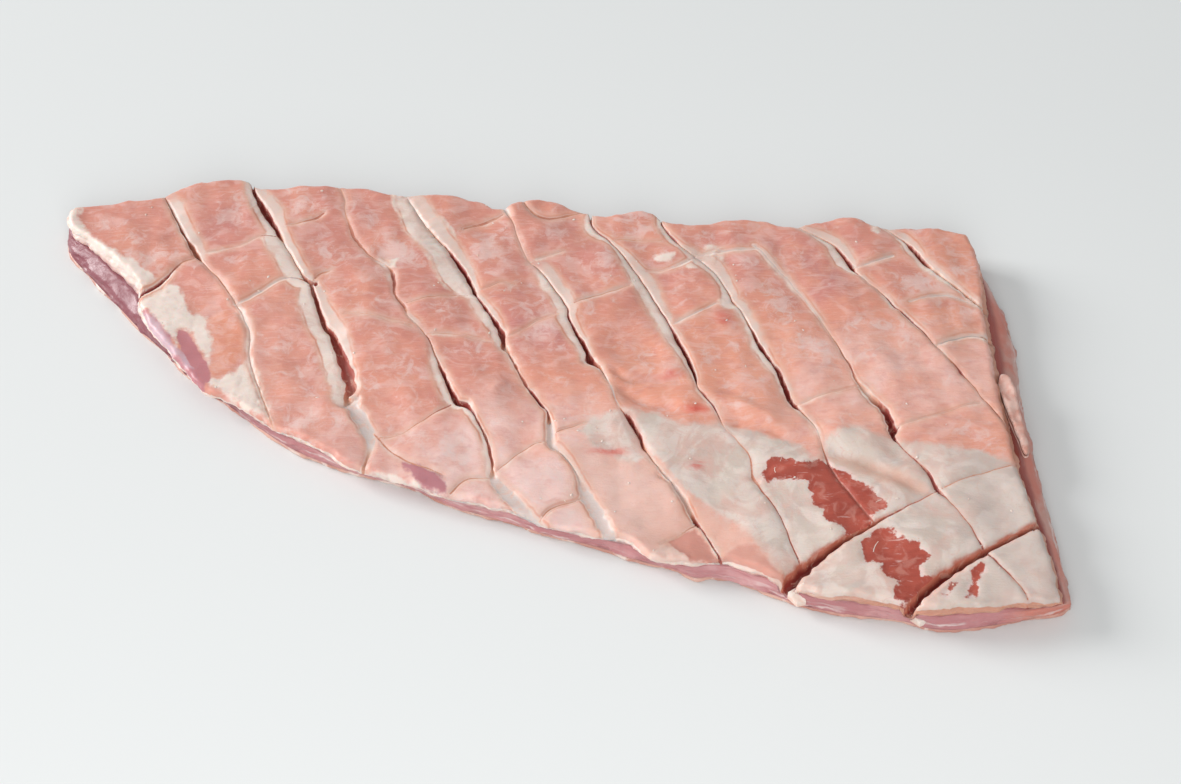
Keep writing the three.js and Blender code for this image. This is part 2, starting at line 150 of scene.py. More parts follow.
# The knife's cuts, from the back to the front or from left to right, each as stations:
# x, y, gape, depth, tone of the floor (0 pale fat, 1 dark lean; the darker tones are partly painted
# shade in the slit), width of the right and left flank
cuts = {
    "score1": [(-170.5, 111, 0.6, 1.5, 0.35, 0.5, 4), (-165.5, 100, 0.8, 3, 0.4, 0.5, 5.5),
        (-156.5, 82, 1.2, 4, 0.5, 0.6, 4.5), (-153.5, 77, 2.4, 4.5, 0.4, 0.6, 4),
        (-151, 72, 2.4, 4.5, 0.4, 0.5, 3.5), (-148.5, 68.5, 1, 2.5, 0.3, 0.5, 2),
        (-145.5, 64.5, 0.7, 1.6, 0.3, 1, 1), (-137.5, 54, 0.7, 1.8, 0.4, 1, 1.5),
        (-125.5, 33, 0.8, 1.8, 0.1, 0.6, 1.6), (-123.5, 27.5, 1.2, 2, 0.15, 1.2, 1.2),
        (-122.5, 15, 1, 1.8, 0.15, 1.2, 0.6), (-109, -23, 1, 2, 0.3, 0.6, 0.8)],
    "score2": [(-131, 119, 1.2, 4, 0.4, 2, 2), (-129.5, 111, 1.5, 5, 0.9, 2.5, 4),
        (-122, 95.5, 3.6, 6.5, 1, 3, 6), (-117, 86, 1.6, 5.5, 0.75, 4, 4),
        (-115.5, 83, 2.4, 4.5, 0.4, 6, 3.5), (-113, 78, 0.7, 3, 0.1, 7.5, 3.5),
        (-105.5, 63, 0.8, 3.2, 0.3, 7.5, 3), (-103, 58, 1, 3.4, 0.4, 7.5, 3),
        (-99, 52.5, 1.5, 4.5, 0.8, 4, 2.5), (-97, 46.5, 1.8, 5.5, 0.7, 6, 3),
        (-91, 29.5, 2.2, 6, 0.6, 6, 6), (-88.5, 26, 2.6, 5.5, 0.9, 6, 5), (-81, 7.5, 5, 4.8, 0.7, 6, 1.2),
        (-78.5, -3, 4.5, 4.2, 0.55, 6, 1), (-80, -7, 3, 3.6, 0.35, 5, 1.5),
        (-78, -10.5, 5.5, 3.5, 0.05, 1, 0.8), (-69, -27, 5, 2.8, 0.05, 0.8, 0.8),
        (-68.5, -33, 2.5, 2.2, 0.1, 0.8, 0.8), (-69.5, -39, 1.2, 2, 0.3, 0.8, 0.8),
        (-72, -48, 1.5, 3, 0.35, 0.8, 0.8)],
    "score3": [(-91, 112, 0.8, 1.5, 0.3, 0.5, 2), (-88, 105, 0.7, 1.4, 0.25, 0.5, 2),
        (-87, 96, 0.6, 1, 0.3, 0.4, 0.4), (-82, 81, 1.6, 1.8, 0.5, 0.5, 0.5),
        (-73.5, 68, 0.9, 1.5, 0.4, 0.8, 0.8), (-68, 64.5, 0.7, 1.5, 0.1, 2, 1.5),
        (-65.5, 61.5, 1, 2, 0.3, 2, 0.8), (-63.5, 57.5, 1.6, 2.5, 0.55, 2, 0.6),
        (-62, 45.5, 1.2, 1.8, 0.45, 0.5, 0.5), (-57.5, 38.5, 1.6, 2, 0.5, 0.5, 0.8),
        (-56.5, 34.5, 0.8, 1.8, 0.2, 0.5, 1.5), (-53, 30.5, 0.7, 1.8, 0.15, 0.5, 2),
        (-47, 22, 0.9, 2, 0.5, 1, 1), (-43.5, 13, 0.8, 2.5, 0.3, 2, 1), (-39.5, 2.5, 1.4, 5, 0.9, 4, 0.8),
        (-35, -8.5, 2, 6, 1, 3.5, 0.8), (-33, -12, 2.8, 6, 1, 2.5, 0.8), (-29.5, -13.5, 2.4, 6, 1, 1, 1),
        (-27.5, -16.5, 1.2, 4.5, 0.75, 3, 0.8), (-22, -27, 1.1, 3, 0.55, 1.5, 0.6),
        (-18.5, -38.5, 1.2, 2.6, 0.55, 1.8, 0.6), (-18, -45, 1.2, 2.6, 0.3, 2.5, 0.6),
        (-17, -49.5, 4, 2.6, 0.05, 0.8, 0.8), (-8.5, -60.5, 5, 2.8, 0.05, 0.8, 0.8),
        (2, -73.5, 4, 3, 0.05, 0.8, 1.5)],
    "score4": [(-62, 109, 0.8, 2, 0.1, 4, 7), (-51, 88.5, 0.7, 3.2, 0.15, 9, 6),
        (-40, 72.5, 1, 4, 0.5, 8, 5), (-37.5, 68, 1.4, 5, 0.95, 9, 4), (-32, 58.5, 2, 6, 1, 10, 3),
        (-28, 48, 1.6, 6, 1, 6, 2), (-27, 45.5, 1, 4, 0.6, 4, 1.5), (-20, 33.5, 1.4, 5, 0.9, 4.5, 2.5),
        (-16, 25, 3, 6, 0.7, 3.5, 1), (-15, 21, 2, 5, 0.6, 3.5, 0.8), (-15, 17.5, 2.8, 3.5, 0.1, 1, 0.6),
        (-13, 14.5, 1.2, 2.6, 0.4, 1.2, 0.6), (-6, -0.5, 1.2, 2.4, 0.5, 0.6, 0.6),
        (1.5, -13, 1.2, 4.5, 0.9, 0.6, 0.6), (4, -16.5, 0.8, 3.5, 0.6, 1, 0.8),
        (5, -22.5, 2.4, 3, 0.1, 0.8, 0.8), (5.5, -28, 2.8, 3, 0.1, 0.8, 0.8),
        (6, -33.5, 2.6, 3, 0.1, 0.8, 0.8), (9, -36.5, 1.2, 2.2, 0.1, 0.6, 2),
        (13, -41.5, 0.8, 2, 0.1, 0.5, 2), (16.5, -47.5, 1, 2, 0.15, 0.6, 1.5),
        (20.5, -58, 4.5, 2.6, 0.05, 0.8, 1), (23.5, -63.5, 5, 2.8, 0.05, 0.8, 0.8),
        (30, -78.5, 4.5, 3, 0.05, 1, 0.8)],
    "score5": [(-18, 103.5, 1, 2.5, 0.1, 1, 1), (-15.5, 96.5, 2.2, 2.4, 0.08, 1, 1),
        (-13, 91, 0.8, 1.8, 0.3, 0.5, 0.6), (-5.5, 67, 0.6, 1.4, 0.25, 1, 1.5),
        (0, 60.5, 0.7, 2.6, 0.25, 3.5, 5), (12, 38.5, 0.7, 3.4, 0.5, 4.5, 4),
        (12.5, 33.5, 1, 4.5, 0.9, 5, 3), (20.5, 14.5, 2, 6, 1, 2.5, 1), (21.5, 10.5, 3.6, 6, 0.8, 2, 0.8),
        (26, 5, 1, 3, 0.3, 0.8, 1), (30, -3.5, 0.5, 0.8, 0.1, 0.3, 0.5),
        (33, -12.5, 0.4, 0.4, 0, 0.3, 0.5), (35.5, -18, 0.8, 2, 0.5, 1, 1),
        (37.5, -20.5, 2.2, 4.5, 1, 1.5, 1), (42, -30, 1.6, 4.5, 0.8, 3.5, 0.8),
        (44, -35.5, 1.2, 3.5, 0.3, 2.8, 0.8), (48.5, -43.5, 0.8, 2, 0.2, 0.8, 1),
        (55.5, -53.5, 1.6, 2.4, 0.1, 1, 0.8), (62, -67, 2, 3, 0.2, 1, 0.8),
        (64, -71.5, 1.8, 3.5, 0.75, 0.8, 0.6), (66.5, -75, 0.8, 2.4, 0.6, 0.5, 0.5),
        (74.5, -91.5, 1.2, 3.5, 0.65, 0.5, 0.6)],
    "score6": [(22, 97.5, 1.5, 5, 0.1, 0.8, 0.6), (22.5, 88.5, 1, 3.5, 0.6, 3.5, 0.6),
        (25, 85, 1, 3, 0.75, 4, 0.6), (32, 76, 0.8, 2.8, 0.45, 1.2, 1.5),
        (44, 55, 0.7, 3.2, 0.4, 4.5, 5.5), (55.5, 29.5, 0.9, 3.8, 0.55, 5, 1.2),
        (59, 20, 1.8, 5.5, 1, 3.5, 0.8), (65, 3.5, 1.5, 5.5, 1, 1.5, 0.8),
        (66, -1, 1.2, 4.5, 0.9, 1, 0.8), (66.5, -4, 0.6, 2, 0.2, 1, 0.6), (67.5, -7, 1, 2.4, 0.5, 2, 0.8),
        (73, -14.5, 1, 3, 0.75, 0.6, 0.6), (77.5, -25.5, 0.5, 1, 0.15, 0.8, 0.8),
        (87, -40, 0.8, 1.4, 0.4, 0.8, 0.8), (88, -51, 1.2, 1.6, 0.4, 1, 1),
        (96.5, -67, 0.6, 1.6, 0.55, 0.5, 0.5), (104.5, -92.5, 0.8, 2.5, 0.5, 0.5, 0.5)],
    "score7": [(52.5, 95.5, 1, 4, 0.4, 1, 0.5), (54, 88, 0.9, 3.2, 0.6, 2.5, 0.5),
        (59, 79, 1, 3, 0.7, 3, 0.8), (62, 75, 0.8, 2.6, 0.2, 2, 1.5), (70, 67, 0.7, 2.6, 0.1, 4, 5),
        (74, 62, 0.7, 2.8, 0.1, 3, 6), (77, 57.5, 0.7, 2.8, 0.15, 2.5, 5),
        (79.5, 51.5, 0.7, 3, 0.3, 2, 4), (83.5, 41.5, 0.8, 3, 0.45, 5, 2.5),
        (85.5, 38, 0.8, 2.8, 0.1, 2, 3.5), (88, 33, 0.8, 3, 0.15, 1.5, 3.5),
        (94, 16, 1.8, 5.5, 1, 2.5, 2), (98.5, 8, 1, 5, 0.9, 3, 1), (101.5, 1.5, 2.2, 6, 0.95, 1.5, 0.6),
        (105.5, -12, 2.2, 6, 0.95, 0.8, 0.6), (110, -18, 1, 2.6, 0.3, 1.5, 0.6),
        (115.5, -28, 0.6, 1.5, 0.1, 0.6, 1.2), (119, -44.5, 1.2, 2, 0.6, 0.5, 0.5),
        (135, -74, 1, 1.8, 0.6, 0.4, 0.4)],
    "score8": [(94, 75.5, 0.5, 1, 0.08, 1.5, 1.5), (101.5, 65, 0.5, 1.3, 0.1, 1.8, 1.8),
        (118, 36, 0.5, 1.1, 0.12, 0.8, 1), (131.5, 4.5, 1, 2.2, 0.5, 0.8, 0.8),
        (134.5, -3.5, 1.4, 2.6, 0.3, 0.8, 1), (137, -7, 2.6, 3, 0.15, 1.5, 0.8),
        (140, -11.5, 3, 3.6, 0.35, 1.5, 0.8), (144.5, -19, 3, 6, 1, 1, 0.8),
        (146, -27.5, 3, 6, 1, 0.8, 0.6), (146, -31, 1.8, 4.5, 0.9, 0.6, 0.5),
        (148, -34.5, 0.7, 1.6, 0.6, 0.5, 0.5), (151.5, -39.5, 0.6, 1.4, 0.55, 0.5, 0.5),
        (158, -48.5, 1.4, 2.4, 0.65, 0.5, 0.5), (162, -59, 1.6, 2.6, 0.8, 0.5, 0.5),
        (165, -63.5, 0.5, 1.2, 0.45, 0.4, 0.4), (173, -76.5, 0.6, 1.2, 0.45, 0.4, 0.4),
        (177, -87.5, 1, 2.4, 0.75, 0.4, 0.4), (189, -105, 0.7, 1.2, 0.4, 0.4, 0.4),
        (193, -115, 0.9, 2, 0.45, 0.4, 0.4)],
    "score9": [(108, 91.5, 0.8, 2.5, 0.1, 1.5, 1.5), (120, 83, 0.8, 2.6, 0.25, 1.5, 4),
        (129, 76.5, 0.9, 3.2, 0.4, 4, 4), (134.5, 67, 2.2, 5, 0.8, 5, 2.5),
        (136, 62.5, 2, 5.5, 1, 3, 1.5), (137, 60.5, 1, 4, 0.8, 1.5, 1),
        (139.5, 57.5, 0.7, 1.8, 0.15, 0.8, 1.8), (146.5, 48.5, 0.7, 2, 0.3, 0.8, 1.8),
        (150, 43.5, 1, 3, 0.8, 1.2, 1.2), (152.5, 38.5, 1, 3, 0.8, 0.8, 1),
        (154.5, 37, 0.7, 2, 0.4, 0.8, 1.2), (156.5, 34.5, 1.2, 3.4, 0.85, 0.8, 1),
        (171, 12, 0.6, 1.4, 0.15, 0.6, 0.8), (177, 3, 1.4, 2, 0.7, 0.5, 0.5),
        (179.5, -1, 0.7, 1.4, 0.4, 0.5, 0.5), (196, -31, 0.9, 2, 0.5, 0.5, 0.5)],
    "score10": [(146.5, 92, 1, 2.5, 0.05, 1, 1), (152, 87, 0.7, 1.6, 0.1, 1, 1.5),
        (159, 81, 0.8, 2.8, 0.35, 2, 4), (164.5, 73, 2.4, 5.2, 0.9, 3, 2.5),
        (166.5, 68.5, 2.2, 5, 0.95, 2, 1.5), (171, 62.5, 1.2, 2.8, 0.2, 2.5, 2),
        (192, 38, 1.2, 3, 0.3, 0.8, 0.8)],
    "cross1": [(-179, 47, 2, 4, 0.6, 1, 1), (-165.5, 57, 1.8, 4.5, 1, 1.5, 1),
        (-157, 67.5, 0.7, 1.4, 0.35, 0.5, 0.5), (-151.5, 70, 0.7, 1.5, 0.3, 0.5, 0.5)],
    "cross2": [(-147.5, 72.5, 0.5, 0.8, 0.15, 0.5, 0.5), (-132, 76.5, 0.5, 0.7, 0.2, 0.4, 0.5),
        (-124, 81.5, 0.5, 0.8, 0.3, 0.4, 0.5), (-121, 82, 0.7, 1.5, 0.65, 0.8, 0.8),
        (-117, 82, 0.7, 1.5, 0.6, 0.8, 0.8)],
    "cross3": [(-112.5, 87.5, 0.6, 1, 0.2, 0.5, 0.5), (-101, 91.5, 1.4, 1.4, 0.45, 0.6, 0.6),
        (-96.5, 95, 1, 1.2, 0.45, 0.5, 0.5)],
    "cross4": [(-131.5, 42.5, 0.6, 1, 0.1, 0.8, 0.8), (-126, 45, 0.6, 1.2, 0.1, 1, 1),
        (-112, 55.5, 0.8, 1.6, 0.08, 1, 1), (-106, 56.5, 0.8, 2, 0.08, 1.5, 1.5),
        (-97, 53.5, 1.6, 4, 0.95, 1.5, 0.8)],
    "cross5": [(-98, 55, 0.8, 1.4, 0.35, 0.6, 0.6), (-95.5, 58.5, 1.2, 1.4, 0.4, 0.6, 0.6),
        (-91, 60.5, 0.8, 1, 0.3, 0.5, 0.5)],
    "cross6": [(-67, -26.5, 0.9, 1.4, 0.4, 0.6, 0.6), (-57, -38, 0.8, 1.3, 0.4, 0.6, 0.6),
        (-38.5, -47, 0.7, 1.2, 0.3, 0.5, 0.5)],
    "cross7": [(-65.5, -28, 0.5, 0.8, 0.35, 0.4, 0.4), (-57.5, -27, 0.5, 0.7, 0.3, 0.4, 0.4),
        (-36, -13, 0.8, 1.6, 0.5, 0.6, 0.5)],
    "cross8": [(-35, -55.5, 0.9, 1.4, 0.4, 0.5, 0.5), (-27.5, -49, 0.7, 1.3, 0.35, 0.5, 0.5),
        (-19.5, -48.5, 0.7, 1.4, 0.2, 0.6, 0.6)],
    "cross9": [(1.5, -69.5, 0.6, 1, 0.35, 0.5, 0.5), (6, -64, 0.8, 1.4, 0.35, 0.5, 0.5),
        (16.5, -60, 0.7, 1.4, 0.25, 0.5, 0.5), (20, -56.5, 0.8, 1.8, 0.15, 0.6, 0.6)],
    "cross10": [(8, -27.5, 0.7, 1.3, 0.4, 0.5, 0.5), (21, -22.5, 0.5, 0.8, 0.2, 0.4, 0.4)],
    "cross11": [(-34, 86, 1, 1.2, 0.4, 0.6, 0.6), (-23.5, 91, 1.5, 1.5, 0.45, 0.7, 0.7),
        (-17, 94.5, 1, 1.5, 0.4, 0.6, 0.8)],
    "cross12": [(-7.5, 101.5, 0.9, 1.6, 0.35, 0.6, 0.6), (-2, 94, 1.4, 1.6, 0.42, 0.7, 0.7),
        (3, 92.5, 1.4, 1.5, 0.45, 0.7, 0.7), (20, 97, 0.8, 1.8, 0.3, 0.6, 0.6)],
    "cross13": [(-4, 65.5, 0.5, 1, 0.1, 1, 1), (10, 71.5, 0.5, 0.7, 0.25, 0.5, 0.5)],
    "cross14": [(15, 40.5, 0.7, 1.2, 0.35, 0.8, 0.8), (39, 51, 0.8, 1.2, 0.25, 0.8, 0.8)],
    "cross15": [(33, 79.5, 0.8, 0.9, 0.35, 0.5, 0.5), (54, 78, 0.6, 0.8, 0.3, 0.4, 0.4)],
    "cross16": [(46, 60.5, 0.6, 1, 0.25, 0.8, 0.8), (53, 61, 0.6, 1, 0.25, 0.8, 0.8),
        (60, 63.5, 0.6, 1.2, 0.12, 1.2, 1.2), (72, 70.5, 0.6, 1.4, 0.1, 1.5, 1.5),
        (95, 73.5, 0.5, 1, 0.1, 1, 1)],
    "cross17": [(57, 29, 0.5, 1, 0.08, 0.8, 0.8), (76, 40, 0.5, 1, 0.1, 0.8, 0.8)],
    "cross18": [(137, 62.5, 0.6, 1.4, 0.15, 0.8, 0.8), (155, 70.5, 0.6, 1.4, 0.1, 1, 0.8)],
    "cross19": [(159, 42, 0.6, 1, 0.15, 0.6, 0.8), (172, 46.5, 0.7, 1.4, 0.1, 0.8, 1.2),
        (179, 46, 0.7, 1.4, 0.1, 0.8, 1), (188, 41, 0.8, 1.6, 0.15, 0.8, 0.8)],
    "cross20": [(168, 17, 0.6, 1.5, 0.1, 0.8, 1), (180, 22.5, 0.8, 2.4, 0.06, 1.5, 1.8),
        (186, 23.5, 0.8, 2.4, 0.06, 1.5, 1.5), (193, 21, 1.4, 3.4, 0.6, 1, 1)],
    "cross22": [(-16, -45.5, 0.5, 1, 0.3, 0.5, 0.5), (-12.5, -42, 0.5, 0.8, 0.35, 0.5, 0.5),
        (-7, -37, 0.5, 0.8, 0.35, 0.5, 0.5), (-1.5, -33, 0.5, 0.9, 0.35, 0.5, 0.5),
        (5, -32, 0.6, 1, 0.3, 0.5, 0.5)],
    "cross23": [(108, -13.5, 0.5, 1, 0.2, 0.5, 0.5), (116.5, -10, 0.5, 0.8, 0.25, 0.5, 0.5),
        (127.5, -6, 0.5, 0.8, 0.25, 0.5, 0.5), (134, -4.5, 0.6, 1, 0.3, 0.5, 0.5)],
    "cross24": [(147, -28, 0.5, 1, 0.2, 0.5, 0.5), (154.5, -24.5, 0.5, 0.8, 0.25, 0.5, 0.5),
        (162, -21.5, 0.45, 0.7, 0.25, 0.5, 0.5), (169, -18.5, 0.45, 0.7, 0.3, 0.5, 0.5),
        (183.5, -13.5, 0.45, 0.7, 0.3, 0.5, 0.5)],
    "cross25": [(-83, 36, 0.5, 1, 0.3, 0.5, 0.5), (-75.5, 35, 0.5, 0.8, 0.3, 0.5, 0.5),
        (-65.5, 32, 0.5, 0.8, 0.25, 0.5, 0.5), (-54, 28.5, 0.5, 1, 0.3, 0.5, 0.5)],
    "cross26": [(-57, 41, 0.6, 1, 0.4, 0.5, 0.5), (-47, 43.5, 0.5, 0.8, 0.35, 0.5, 0.5),
        (-37.5, 45.5, 0.5, 0.8, 0.35, 0.5, 0.5), (-31, 46, 0.6, 1, 0.3, 0.5, 0.5)],
    "cross27": [(-48.5, 24.5, 0.5, 0.9, 0.3, 0.5, 0.5), (-38.5, 24, 0.45, 0.7, 0.3, 0.5, 0.5),
        (-29, 22.5, 0.45, 0.7, 0.3, 0.5, 0.5), (-20, 20, 0.5, 0.9, 0.25, 0.5, 0.5)],
    "cross28": [(-26, 48, 0.5, 0.9, 0.35, 0.5, 0.5), (-21.5, 50, 0.45, 0.7, 0.35, 0.5, 0.5),
        (-16.5, 52.5, 0.45, 0.7, 0.35, 0.5, 0.5), (-11.5, 51.5, 0.4, 0.6, 0.3, 0.4, 0.4)],
    "cross29": [(-13.5, 22.5, 0.5, 0.9, 0.25, 0.5, 0.5), (-8, 25.5, 0.5, 0.8, 0.3, 0.5, 0.5),
        (0.5, 31.5, 0.5, 0.8, 0.3, 0.5, 0.5), (9, 35, 0.5, 0.9, 0.2, 0.6, 0.6)],
    "cross21": [(144, -69.5, 0.8, 1.6, 0.6, 0.4, 0.4), (170, -54.5, 0.45, 0.8, 0.3, 0.3, 0.3),
        (198, -43.5, 0.6, 1.4, 0.4, 0.4, 0.4)],
    "deepCut1": [(92.5, -110.5, 5, 9, 0.95, 1, 1), (102.5, -98.5, 5.5, 8, 1, 0.8, 0.8),
        (119.5, -84, 3.2, 6.5, 1, 0.8, 0.8), (144, -69.5, 0.8, 1.6, 0.6, 0.4, 0.4)],
    "deepCut2": [(138.5, -124, 3.5, 9, 0.9, 1, 1), (143.5, -116.5, 4, 9, 0.95, 0.8, 0.8),
        (158.5, -101.5, 4.2, 8.5, 1, 0.8, 1), (181.5, -86.5, 2, 5, 0.9, 0.6, 0.6),
        (201.5, -74.5, 2.4, 5, 0.85, 0.8, 0.8)],
    "flap1": [(64.5, -73, 0.8, 2, 0.3, 0.5, 1), (50, -81.5, 0.6, 1.4, 0.2, 0.5, 0.6)],
}
deepCuts = ("deepCut1", "deepCut2")       # these run out through the front edge into the lean
# Folds and creases of the face: width, rise, route
folds = {
    "ridge1": (2.2, 1.3, [(90, -54), (97, -49), (104, -46), (112, -44)]),
    "groove1": (1.6, -1.5, [(30, 6), (38, -1), (50, -1), (62, -3)]),
    "groove2": (2.0, -1.4, [(33, -4), (38, -8), (45, -12), (55, -15), (65, -18)]),
    "ridge2": (3.0, 1.1, [(70, -8), (80, -12), (90, -18), (100, -24)]),
    "groove3": (1.6, -1.2, [(80, -23), (90, -24), (97, -27), (103, -31)]),
    "ridge3": (2.4, 0.7, [(147, -28), (153, -24), (165, -23), (180, -26), (190, -29)]),
    "nick1": (0.7, -0.8, [(20, -32), (30, -35), (40, -42)]),
    "nick2": (0.7, -0.8, [(48, -48), (54, -53)]),
    "seam1": (1.3, -0.5, [(112, 88), (120, 88), (130, 86), (138, 89), (146, 88)]),
    "seam2": (1.3, -0.5, [(167, 77), (175, 78), (185, 78), (189, 77)]),
    "crumbEdge": (1.0, 0.5, [(29, -74), (36, -78), (42, -82)]),
    "smallFlap": (1.6, 0.9, [(-20, -7), (-16, -4), (-13, -3)]),
    "lobe": (1.1, -0.7, [(-143, 36), (-138, 40), (-131, 39), (-127, 34), (-124, 26)]),
    "shelf": (4.2, 1.3, [(112, -22), (122, -28), (134, -35), (146, -44), (157, -54)]),
    "underShelf": (2.6, -1.2, [(118, -36), (126, -39.5), (138, -46.5), (149, -54), (157, -60)]),
}
# Patches of the face, as outlines in plan
patches = {
    "lean": [
        [(92, -50), (93, -43), (100, -41), (104, -42), (105, -45), (111, -44), (117, -42), (122, -46),
            (127, -49), (129, -53), (136, -58), (140, -64), (139, -68), (134, -70), (134, -74), (129, -79),
            (123, -81), (123, -76), (120, -74), (116, -73), (115, -68), (111, -64), (110, -56), (109, -53),
            (101, -52), (94, -53)],
        [(129, -84), (134, -78), (137, -77), (142, -79), (145, -82), (147, -85), (151, -84), (153, -88),
            (155, -91), (151, -96), (152, -100), (154, -102), (150, -107), (147, -111), (143, -113),
            (140, -110), (142, -103), (138, -100), (136, -97), (136, -94), (133, -93), (130, -94)],
        [(172, -96), (176, -95), (176, -99), (173, -103), (172, -110), (168, -111), (170, -106)],
        [(158, -109), (163, -103), (165, -104), (160, -111)],
    ],
    "fat": [
        [(-173, 46), (-168, 55), (-162, 57), (-156, 55), (-154, 47), (-151, 41), (-144, 37), (-142, 32),
            (-140, 26), (-139, 16), (-139, 11), (-144, 20), (-148, 27), (-152, 31), (-155, 30), (-154, 25),
            (-153, 22), (-154, 20), (-157, 25), (-161, 31), (-165, 37), (-169, 41), (-175, 44)],
        [(-211, 100), (-206, 103), (-206, 94), (-201, 87), (-190, 77), (-177, 67), (-171, 62), (-167, 59),
            (-173, 53), (-180, 60), (-188, 67), (-199, 77), (-213, 90)],
        [(-141, 3), (-134, 4), (-128, 7), (-123, 12), (-120, 9), (-117, 2), (-114, -7), (-110, -19),
            (-117, -15), (-132, -3)],
        [(-67, 107), (-56, 106), (-50, 99), (-43, 91), (-38, 84), (-36, 72), (-30, 58), (-30, 46),
            (-40, 50), (-45, 56), (-50, 72), (-60, 85), (-66, 100)],
        [(146, 89), (151, 89), (150, 83), (146, 84)],
        [(63, 66), (69, 66), (68, 61), (63, 61)],
        [(49, 70), (58, 70), (57, 66), (49, 66)],
        [(-70, 67), (-62, 67), (-62, 61), (-70, 62)],
        [(77, 41), (84, 47), (84, 41)],
        [(72, 77), (80, 75), (80, 65), (72, 66)],
        [(44, -90), (50, -81), (60, -87), (64, -91), (55, -94), (45, -93)],
        [(-74, -46), (-62, -46), (-50, -50), (-37, -57), (-30, -63), (-37, -66), (-50, -59), (-61, -55),
            (-74, -52)],
    ],
    "redStrip": [
        [(81, -84), (86, -85), (93, -94), (98, -99), (97, -104), (81, -98), (72, -93), (66, -91), (74, -88)],
    ],
    "mauve": [
        [(-180, 50), (-175, 44), (-169, 41), (-165, 37), (-161, 31), (-157, 25), (-154, 20), (-150, 17),
            (-146, 13), (-142, 7), (-140, 3), (-141, -6), (-152, -6), (-162, 6), (-172, 20), (-184, 36)],
        [(-55, -41), (-47, -43), (-39, -48), (-36, -53), (-36, -57), (-46, -53), (-51, -48)],
    ],
    "lens": [
        [(-155, 31), (-151, 29), (-146, 22), (-141.5, 14), (-138.5, 7), (-138, 1), (-142, 2), (-145, 8),
            (-151, 18), (-154, 25)],
    ],
    "lavender": [
        [(-171, 41), (-167, 38), (-163, 34), (-160, 28), (-156, 23), (-154, 20), (-150, 17), (-146, 13),
            (-144, 9), (-149, 9), (-152, 15), (-157, 18), (-161, 21), (-165, 26), (-168, 32), (-170, 37)],
    ],
    "orange": [
        [(-143, 35), (-140, 39), (-135, 40), (-129, 37), (-126, 29), (-126, 18), (-128, 10), (-133, 5),
            (-138, 2), (-139, 10), (-139, 16), (-140, 26), (-142, 32)],
    ],
    "skin": [
        [(18, -27), (22, -21), (30, -18), (36, -15), (45, -18), (55, -21), (66, -23), (75, -22),
            (80, -26), (90, -27), (100, -31), (107, -35), (113, -41), (118, -40), (119, -32), (123, -28),
            (130, -27), (138, -29), (152, -34), (165, -36), (178, -39), (197, -45), (212, -83),
            (215, -118), (160, -122), (125, -118), (105, -110), (95, -97), (86, -81), (73, -68),
            (60, -56), (48, -41), (40, -44), (24, -35)],
    ],
    # Painted shade in the hollow under the shelf fold
    "foldShade": [
        [(117, -41), (126, -40), (136, -42), (144, -47), (152, -53), (158, -58), (157, -61), (150, -60),
            (141, -55), (133, -50), (125, -46)],
    ],
    "peach": [
        [(8, -34), (24, -35), (40, -44), (48, -41), (60, -56), (73, -68), (86, -81), (98, -96),
            (98, -112), (80, -100), (60, -95), (40, -87), (20, -80), (14, -60)],
    ],
    "recess": [
        [(52, -80), (57, -77), (64, -75), (66, -78), (69, -83), (72, -89), (66, -90), (62, -90), (57, -85)],
    ],
}
# Spots of blood: x, y, half length, half width
bloodSpots = [(55, 1, 4.5, 1.6), (79, 31, 3, 3), (66, -16, 5, 2.5), (65, -44, 3, 2.5), (30, -37, 8, 1.5)]
# Drifts of tone over the cover, pale below 0 and deep pink above: x, y, radius, strength
drifts = [
    (-180, 80, 30, 0.1), (-100, 95, 34, 0.15), (-45, 5, 40, 0.5), (60, 80, 60, 0.6), (130, 75, 45, 0.7),
    (-10, 60, 40, 0.45), (-110, 10, 40, -0.2), (-30, -45, 45, -1.5), (22, -60, 30, -2.2),
    (4, -40, 13, 0.9), (130, 5, 40, -0.7), (175, 45, 22, 0.2), (178, 5, 24, -0.6), (120, 45, 14, 0.5),
    (5, 27, 20, 0.8), (-138, 91, 22, 0.7), (34, -42, 10, 0.9), (-42, -18, 14, 0.5), (-85, 88, 24, 0.4),
]
